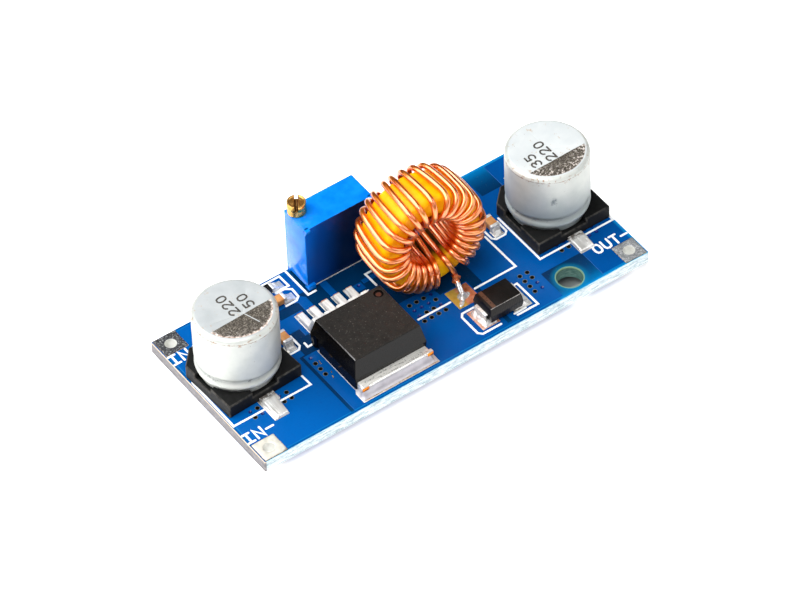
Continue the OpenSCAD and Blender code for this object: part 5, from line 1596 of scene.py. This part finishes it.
FRONT = [308.1, 318.5, 327.4, 339.6, 349.8, 363.1, 380.9, 396.0, 408.9, 420.3, 432.2, 449.3, 464.2, 475.5, 488.9, 501.2, 515.6, 531.5,
         545.3, 558.8, 581.5, 595.6, 607.6, 617.6, 626.6]
BACK_MID = [412.3, 427.7, 440.0, 452.3, 464.2, 473.0, 487.4, 497.3, 508.0, 521.4, 534.3, 551.1, 570.5]


def coil_path():
    ro, ri, h = RO + GAP, RI - GAP, HALF + GAP
    back = [BACK_MID[j - 8] if 8 <= j <= 20 else FRONT[j] - 8 * math.sin(math.radians(360 * (j / 24 - 0.5))) for j in range(25)]
    keys = [(ri, 291.0, h), (ri, 296.0, -h)]
    for j in range(25):
        al = 309.8 + 12.98 * j + 1.35 * max(0, j - 17)
        keys += [(ro, back[j], -h), (ro, FRONT[j], h), (ri, al - (2.0 if j == 24 else 0.0), h), (ri, al + (12.0 if j == 24 else 6.0 * (1 - max(0, j - 20) / 6)), -h)]
    pts = []
    for (r0, a0, h0), (r1, a1, h1) in zip(keys[:-1], keys[1:]):
        n = 24
        for i in range(n):
            t = i / n
            arch = math.sin(math.pi * t)
            if r0 == r1:
                pts.append(on_coil(r0 + (0.16 * arch if r0 > 5 else 0.0), a0 + (a1 - a0) * t, h0 + (h1 - h0) * t))
            else:
                # the wire stands off the ring's faces in a round bow
                p, q = on_coil(r0, a0, h0), on_coil(r1, a1, h1)
                pts.append(p + (q - p) * t + CZ * (0.62 * arch * (1 if h0 > 0 else -1)))
    pts.append(on_coil(*keys[-1]))
    zt = Z_TOP
    lead_in = [np.array(p) for p in ((COIL_F[0], COIL_F[1], 0.12), (COIL_F[0], COIL_F[1], zt - 0.6), (COIL_F[0], COIL_F[1], zt + 0.12), (5.66, -3.85, zt + 0.6),
                                     (5.87, -2.96, zt + 1.02), (6.12, -2.2, zt + 1.46))] + [on_coil(6.45, 290.9, h + 0.06), on_coil(5.2, 291.3, h + 0.3)]
    lead_out = [on_coil(5.2, 268, -h), on_coil(6.5, 272, -h - 0.05)] + [np.array(p) for p in ((4.75, 5.25, zt + 0.62), (5.4, 5.7, zt + 0.45), (COIL_B[0], COIL_B[1], zt - 0.1), (COIL_B[0], COIL_B[1], 0.12))]
    return lead_in + pts + lead_out, len(lead_in)


def resample(pts, step):
    P = np.array(pts, float)
    s = np.concatenate([[0], np.cumsum(np.linalg.norm(np.diff(P, axis=0), axis=1))])
    t = np.linspace(0, s[-1], int(s[-1] / step) + 1)
    return np.stack([np.interp(t, s, P[:, i]) for i in range(3)], 1)


def smoothed(P, sigma, step):
    k = int(3.5 * sigma / step)
    w = np.exp(-0.5 * (np.arange(-k, k + 1) * step / sigma) ** 2)
    w /= w.sum()
    ext = np.concatenate([2 * P[0] - P[k:0:-1], P, 2 * P[-1] - P[-2:-k - 2:-1]])
    return np.stack([np.convolve(ext[:, i], w, "valid") for i in range(3)], 1)


def winding():
    path, n_in = coil_path()
    fine = resample(path, 0.06)
    wide = smoothed(fine, 0.8, 0.06)
    tight = smoothed(fine, 0.16, 0.06)
    # the leads keep their sharper bends
    s = np.arange(len(fine)) * 0.06
    b = (np.clip((s - 7.2) / 1.5, 0, 1) * np.clip((s[-1] - s - 4.5) / 1.5, 0, 1))[:, None]
    keep = resample(tight * (1 - b) + wide * b, 0.19)
    s = np.concatenate([[0], np.cumsum(np.linalg.norm(np.diff(keep, axis=0), axis=1))])
    head = int(np.argmax((keep[:, 2] > Z_TOP + 1.2) & (s > 1)))
    tail = int(np.argmax(s > s[-1] - 2.4))
    bag = Bag()
    v, f = sweep(keep[head - 2:], np.full(len(keep) - head + 2, WIRE_R), 16)
    n = (len(keep) - head + 1) * 16
    bag.add(v, f, [1 if k < n and k // 16 >= tail - head + 2 else 0 for k in range(len(f))])
    # below the burnt enamel the tinned end splits into strands
    foot = keep[:head + 1]
    t = np.gradient(foot, axis=0)
    t /= np.linalg.norm(t, axis=1)[:, None]
    u = np.cross(t, (0.2, 0.1, 1.0))
    flat = np.linalg.norm(u, axis=1) < 0.35
    u[flat] = (1.0, 0.0, 0.0)
    u /= np.linalg.norm(u, axis=1)[:, None]
    w = np.cross(t, u)
    for ph in (0.0, TAU / 3, 2 * TAU / 3):
        a = ph + s[:head + 1] * 0.5
        strand = foot + 0.17 * (np.cos(a)[:, None] * u + np.sin(a)[:, None] * w)
        v, f = sweep(smoothed(strand, 0.3, 0.19), 0.19, 12)
        bag.add(v, f, 1)
    for c, r, seed, sq in (((5.86, -2.66, Z_TOP + 1.16), 0.38, 1.0, (1.0, 1.1, 1.0)), ((6.2, -2.42, Z_TOP + 1.28), 0.34, 2.3, (1.25, 1, 1)),
                           ((6.02, -2.36, Z_TOP + 1.44), 0.45, 4.1, (0.95, 1.0, 1.2))):
        vv, ff = lump(c, r, seed, sq)
        bag.add(vv, ff, 2)
    make("inductor_winding_round", bag.v, bag.f, [M["copper"], M["tinned_wire"], M["burnt"]], bag.m, angle=60, hides=("inductor_winding",))


winding()


# ---------------------------------------------------------------- trimmer
def trimmer_housing():
    x0, x1, y0, y1, z0, z1 = TRIM
    yf = y0 + 0.37
    bag = Bag()

    def loop(d, y, r):
        return [(a, y, b) for a, b in rect(x0 + d, x1 - d, z0 + d, z1 - d, max(r - d, 0.02), 4)]

    # rounded outside, with a shallow panel in the front face
    rows = [loop(0.62, y1 - 0.02, 0.12), loop(0.07, y1, 0.12), loop(0.02, y1 - 0.03, 0.12), loop(0.0, y1 - 0.08, 0.12), loop(0.0, yf + 0.08, 0.12), loop(0.02, yf + 0.03, 0.12),
            loop(0.07, yf, 0.12), loop(0.16, yf, 0.3), loop(0.19, yf + 0.015, 0.3), loop(0.21, yf + 0.06, 0.3), loop(0.26, yf + 0.07, 0.3)]
    n = len(rows[0])
    v = [p for row in rows for p in row]
    f = [(k * n + i, k * n + (i + 1) % n, (k + 1) * n + (i + 1) % n, (k + 1) * n + i) for k in range(len(rows) - 1) for i in range(n)]
    m = [1 if k >= 6 else 0 for k in range(len(rows) - 1) for i in range(n)] + [0, 1]
    f += [tuple(range(n)), tuple(range((len(rows) - 1) * n, len(rows) * n))[::-1]]
    bag.add(v, f, m)

    def block(a0, a1, b0, b1, c0, c1, r=0.06):
        base, mid = rect(a0 + 0.6 * r, a1 - 0.6 * r, b0 + 0.6 * r, b1 - 0.6 * r, 0.5 * r, 3), rect(a0, a1, b0, b1, r, 3)
        k = len(mid)
        vv = [(x, y, c0) for x, y in base] + [(x, y, c0 + r) for x, y in mid] + [(x, y, c1 - r) for x, y in mid] + [(x, y, c1) for x, y in base]
        ff = [(q * k + i, q * k + (i + 1) % k, (q + 1) * k + (i + 1) % k, (q + 1) * k + i) for q in range(3) for i in range(k)]
        bag.add(vv, ff + [tuple(range(k))[::-1], tuple(range(3 * k, 4 * k))], 0)

    # feet, and the nibs at the ends of the front's upper edge
    for a0, a1 in ((x0, x0 + 1.0), (x1 - 1.0, x1)):
        block(a0, a1, y0 + 0.05, y0 + 0.9, Z_LAND, z0 + 0.36)
        block(a0, a1, y1 - 0.6, y1, Z_LAND, z0 + 0.3)
    block(x0, x0 + 0.62, y0 + 0.05, yf + 0.3, z1 - 0.46, z1, 0.05)
    block(x1 - 0.62, x1, y0 + 0.05, yf + 0.3, z1 - 0.46, z1, 0.05)
    block(x0 - 0.0, x0 + 0.2, yf - 0.1, yf + 0.2, z1 - 0.85, z1 - 0.3, 0.05)
    # a ring left by the mould on the front panel, upper left
    ring = []
    for k in range(28):
        a = TAU * k / 28
        for j in range(6):
            b = TAU * j / 6
            r = 0.27 + 0.03 * math.cos(b)
            ring.append((x0 + 1.3 + r * math.cos(a), yf + 0.068 + 0.025 * math.sin(b), z1 - 0.75 + r * math.sin(a)))
    rf = [(k * 6 + j, ((k + 1) % 28) * 6 + j, ((k + 1) % 28) * 6 + (j + 1) % 6, k * 6 + (j + 1) % 6) for k in range(28) for j in range(6)]
    bag.add(ring, rf, 1)
    make("trimmer_housing_moulded", bag.v, bag.f, [M["blue"], M["blue_panel"]], bag.m, angle=35, hides=("trimmer_housing",))


trimmer_housing()


def trimmer_screw():
    """Slotted brass head on the worm's shaft."""
    bag = Bag()
    R, z1, deep, half = 1.12, 14.25, 0.75, 0.21
    zs = z1 - deep
    prof = [(0.0, 4.3), (0.46, 4.3), (0.5, 4.36), (0.5, 5.18), (0.55, 5.2)]
    # worm thread as rounded ribs along the shaft
    zz = 5.2
    while zz < 10.6:
        prof += [(0.5, zz + 0.03), (0.54, zz + 0.09), (0.555, zz + 0.14), (0.54, zz + 0.19), (0.5, zz + 0.25)]
        zz += 0.28
    top = TRIM[5]
    prof += [(0.55, 10.95), (0.8, 10.98), (0.8, 11.3), (0.6, 11.34), (0.6, top + 0.05), (R - 0.06, top + 0.05), (R - 0.015, top + 0.065), (R, top + 0.11)]
    for k in range(6):
        g = top + 0.24 + 0.115 * k
        prof += [(R, g - 0.03), (R - 0.012, g), (R, g + 0.03)]
    prof += [(R, zs), (half, zs), (0.0, zs - 0.02)]
    v, f = lathe(prof, 72)
    bag.add(v, f)
    a0 = math.acos(half / R)

    def crown(P, d):
        r = np.hypot(P[:, 0], P[:, 1])
        k = np.clip((0.98 - r) / 0.16, 0, 1)
        return z1 - 0.06 * np.exp(-d / 0.035) - 0.11 * k * k * (3 - 2 * k) - 0.008 * np.sin(r * 26) * k

    for side in (0.0, math.pi):
        arc = [(R * math.cos(side + a), R * math.sin(side + a)) for a in np.linspace(-a0, a0, 40)]
        vv, ff = slab(arc, (), crown, zs - 0.03, 0.06, (0.02, 0.05, 0.1))
        bag.add(vv, ff)
    make("trimmer_screw_turned", moved(bag.v, SCREW[0], SCREW[1], 0.0, -34.0), bag.f, [M["brass"]], angle=38, body="adjusting_screw", hides=("trimmer_screw",))


trimmer_screw()
recast("trimmer_pins", 0.03, M["chip_end"], "trimmer_wire_pins", segs=2)


# ---------------------------------------------------------------- chip parts
def chips():
    for name, p, turn, h, body_mat, slot in (("resistor", RESISTOR, 0, 0.6, "resistor", "resistor_black"), ("bypass_chip_capacitor", BYPASS, 0, 0.9, "mlcc", "chip_ceramic"),
                                             ("input_chip_capacitor", IN_CHIP, 90, 0.95, "mlcc", "chip_ceramic"), ("output_chip_capacitor", OUT_CHIP, 90, 0.95, "mlcc", "chip_ceramic")):
        def block(x0, x1, y0, y1, z0, z1, r, dip=0.0):
            rows = [(rect(x0 + r, x1 - r, y0 + r, y1 - r, 0.02, 3), z0), (rect(x0 + 0.3 * r, x1 - 0.3 * r, y0 + 0.3 * r, y1 - 0.3 * r, r * 0.8, 3), z0 + 0.3 * r), (rect(x0, x1, y0, y1, r, 3), z0 + r),
                    (rect(x0, x1, y0, y1, r, 3), z1 - r), (rect(x0 + 0.3 * r, x1 - 0.3 * r, y0 + 0.3 * r, y1 - 0.3 * r, r * 0.8, 3), z1 - 0.3 * r), (rect(x0 + r, x1 - r, y0 + r, y1 - r, 0.02, 3), z1)]
            n = len(rows[0][0])
            v = [(x, y, z) for loop, z in rows for x, y in loop]
            f = [(k * n + i, k * n + (i + 1) % n, (k + 1) * n + (i + 1) % n, (k + 1) * n + i) for k in range(5) for i in range(n)]
            f += [tuple(range(n))[::-1], tuple(range(5 * n, 6 * n))]
            return moved(v, p[0], p[1], Z_SEAT, turn), f

        v, f = block(-0.95, 0.95, -0.55, 0.55, 0.05, h - 0.04, 0.07)
        make(name + "_block", v, f, [M[body_mat]], angle=35, hides=(name + "_body",))
        bag = Bag()
        for s in (-1, 1):
            a, b = sorted((s * 0.57, s * 1.0))
            v, f = block(a, b, -0.6, 0.6, 0.0, h, 0.1)
            bag.add(v, f)
        make(name + "_end_caps", bag.v, bag.f, [M["chip_end"]], angle=35, hides=(name + "_ends",))


chips()

# ---------------------------------------------------------------- what is inside
INSIDE = {"input_capacitor_bung": "rubber", "output_capacitor_bung": "rubber", "input_capacitor_roll": "foil", "output_capacitor_roll": "foil",
          "regulator_die": "silicon", "diode_die": "silicon", "regulator_bond_wires": "bond", "trimmer_o_ring": "ring_rubber", "trimmer_rotor": "rotor",
          "trimmer_wiper": "wiper", "trimmer_element": "element", "trimmer_seal": "resin"}
for node, key in INSIDE.items():
    ob = nodes[node]
    for sl in ob.material_slots:
        sl.material = M[key]


# ---------------------------------------------------------------- floor, light, camera
def floor():
    me = bpy.data.meshes.new("floor")
    n, w = 24, 1.6
    v = [(-w / 2 + w * i / n, -w / 2 + w * j / n, -0.00002) for j in range(n + 1) for i in range(n + 1)]
    me.from_pydata(v, [], [(j * (n + 1) + i, j * (n + 1) + i + 1, (j + 1) * (n + 1) + i + 1, (j + 1) * (n + 1) + i) for j in range(n) for i in range(n)])
    s = Shade("floor_white")
    g = s.noise(14, 2.0)
    out = s.most(s.sub(s.math("ABSOLUTE", s.xyz(0)), 0.026), s.sub(s.math("ABSOLUTE", s.xyz(1)), 0.0105))
    pale = s.ramp(g, [(0.3, srgb(248, 248, 248)), (0.7, srgb(252, 252, 252))])
    # painted shadow: under the board the floor is darker and does not glow, which shows through the holes
    s.set(base=s.mix(s.span(out, -0.0022, -0.0008, 1.0, 0.0), pale, srgb(132, 138, 136)), rough=0.9, spec=0.1, glow=srgb(255, 255, 255), glow_at=s.span(out, -0.0012, 0.0004, 0.0, 0.4))
    me.materials.append(s.m)
    ob = bpy.data.objects.new("floor", me)
    bpy.context.scene.collection.objects.link(ob)


floor()


def area(name, at, aim, size, watts, colour=(1, 1, 1)):
    li = bpy.data.lights.new(name, "AREA")
    li.shape, li.size, li.size_y = "RECTANGLE", size[0], size[1]
    li.energy, li.color = watts, colour
    ob = bpy.data.objects.new(name, li)
    ob.location = at
    ob.rotation_euler = (Vector(aim) - Vector(at)).to_track_quat("-Z", "Y").to_euler()
    bpy.context.scene.collection.objects.link(ob)
    return ob


area("top_softbox", (-0.17, 0.05, 0.45), (-0.02, 0.0, 0), (0.75, 0.45), 4.75)
area("left_panel", (-0.45, 0.19, 0.24), (0, 0, 0.005), (0.46, 0.34), 1.6)
area("front_fill", (-0.3, -0.5, 0.36), (0, 0, 0.005), (0.8, 0.5), 0.9)
area("right_fill", (0.38, -0.3, 0.38), (0, 0, 0.005), (0.5, 0.45), 1.3)

world = bpy.data.worlds.new("studio")
bpy.context.scene.world = world
world.use_nodes = True
wt = world.node_tree
bg = wt.nodes["Background"]
bg.inputs[0].default_value = (1.0, 1.0, 1.0, 1.0)
bg.inputs[1].default_value = 0.07

AZ, EL, ROLL, DIST = math.radians(-33.807), math.radians(46.975), math.radians(-2.376), 0.675314
target = Vector((-1.646, -2.186, 5.1)) * MM
back = Vector((math.sin(AZ) * math.cos(EL), -math.cos(AZ) * math.cos(EL), math.sin(EL)))
right = (-back).cross(Vector((0, 0, 1))).normalized()
up = right.cross(-back).normalized()
r2 = right * math.cos(ROLL) + up * math.sin(ROLL)
u2 = -right * math.sin(ROLL) + up * math.cos(ROLL)
cam = bpy.data.cameras.new("camera")
cam.lens, cam.sensor_width, cam.sensor_fit = 265.741, 36.0, "HORIZONTAL"
cam.clip_start, cam.clip_end = 0.02, 10.0
co = bpy.data.objects.new("camera", cam)
pos = target + back * DIST
co.matrix_world = Matrix(((r2.x, u2.x, back.x, pos.x), (r2.y, u2.y, back.y, pos.y), (r2.z, u2.z, back.z, pos.z), (0, 0, 0, 1)))
bpy.context.scene.collection.objects.link(co)
bpy.context.scene.camera = co
bpy.context.scene.view_settings.view_transform = "Standard"
bpy.context.scene.view_settings.look = "None"
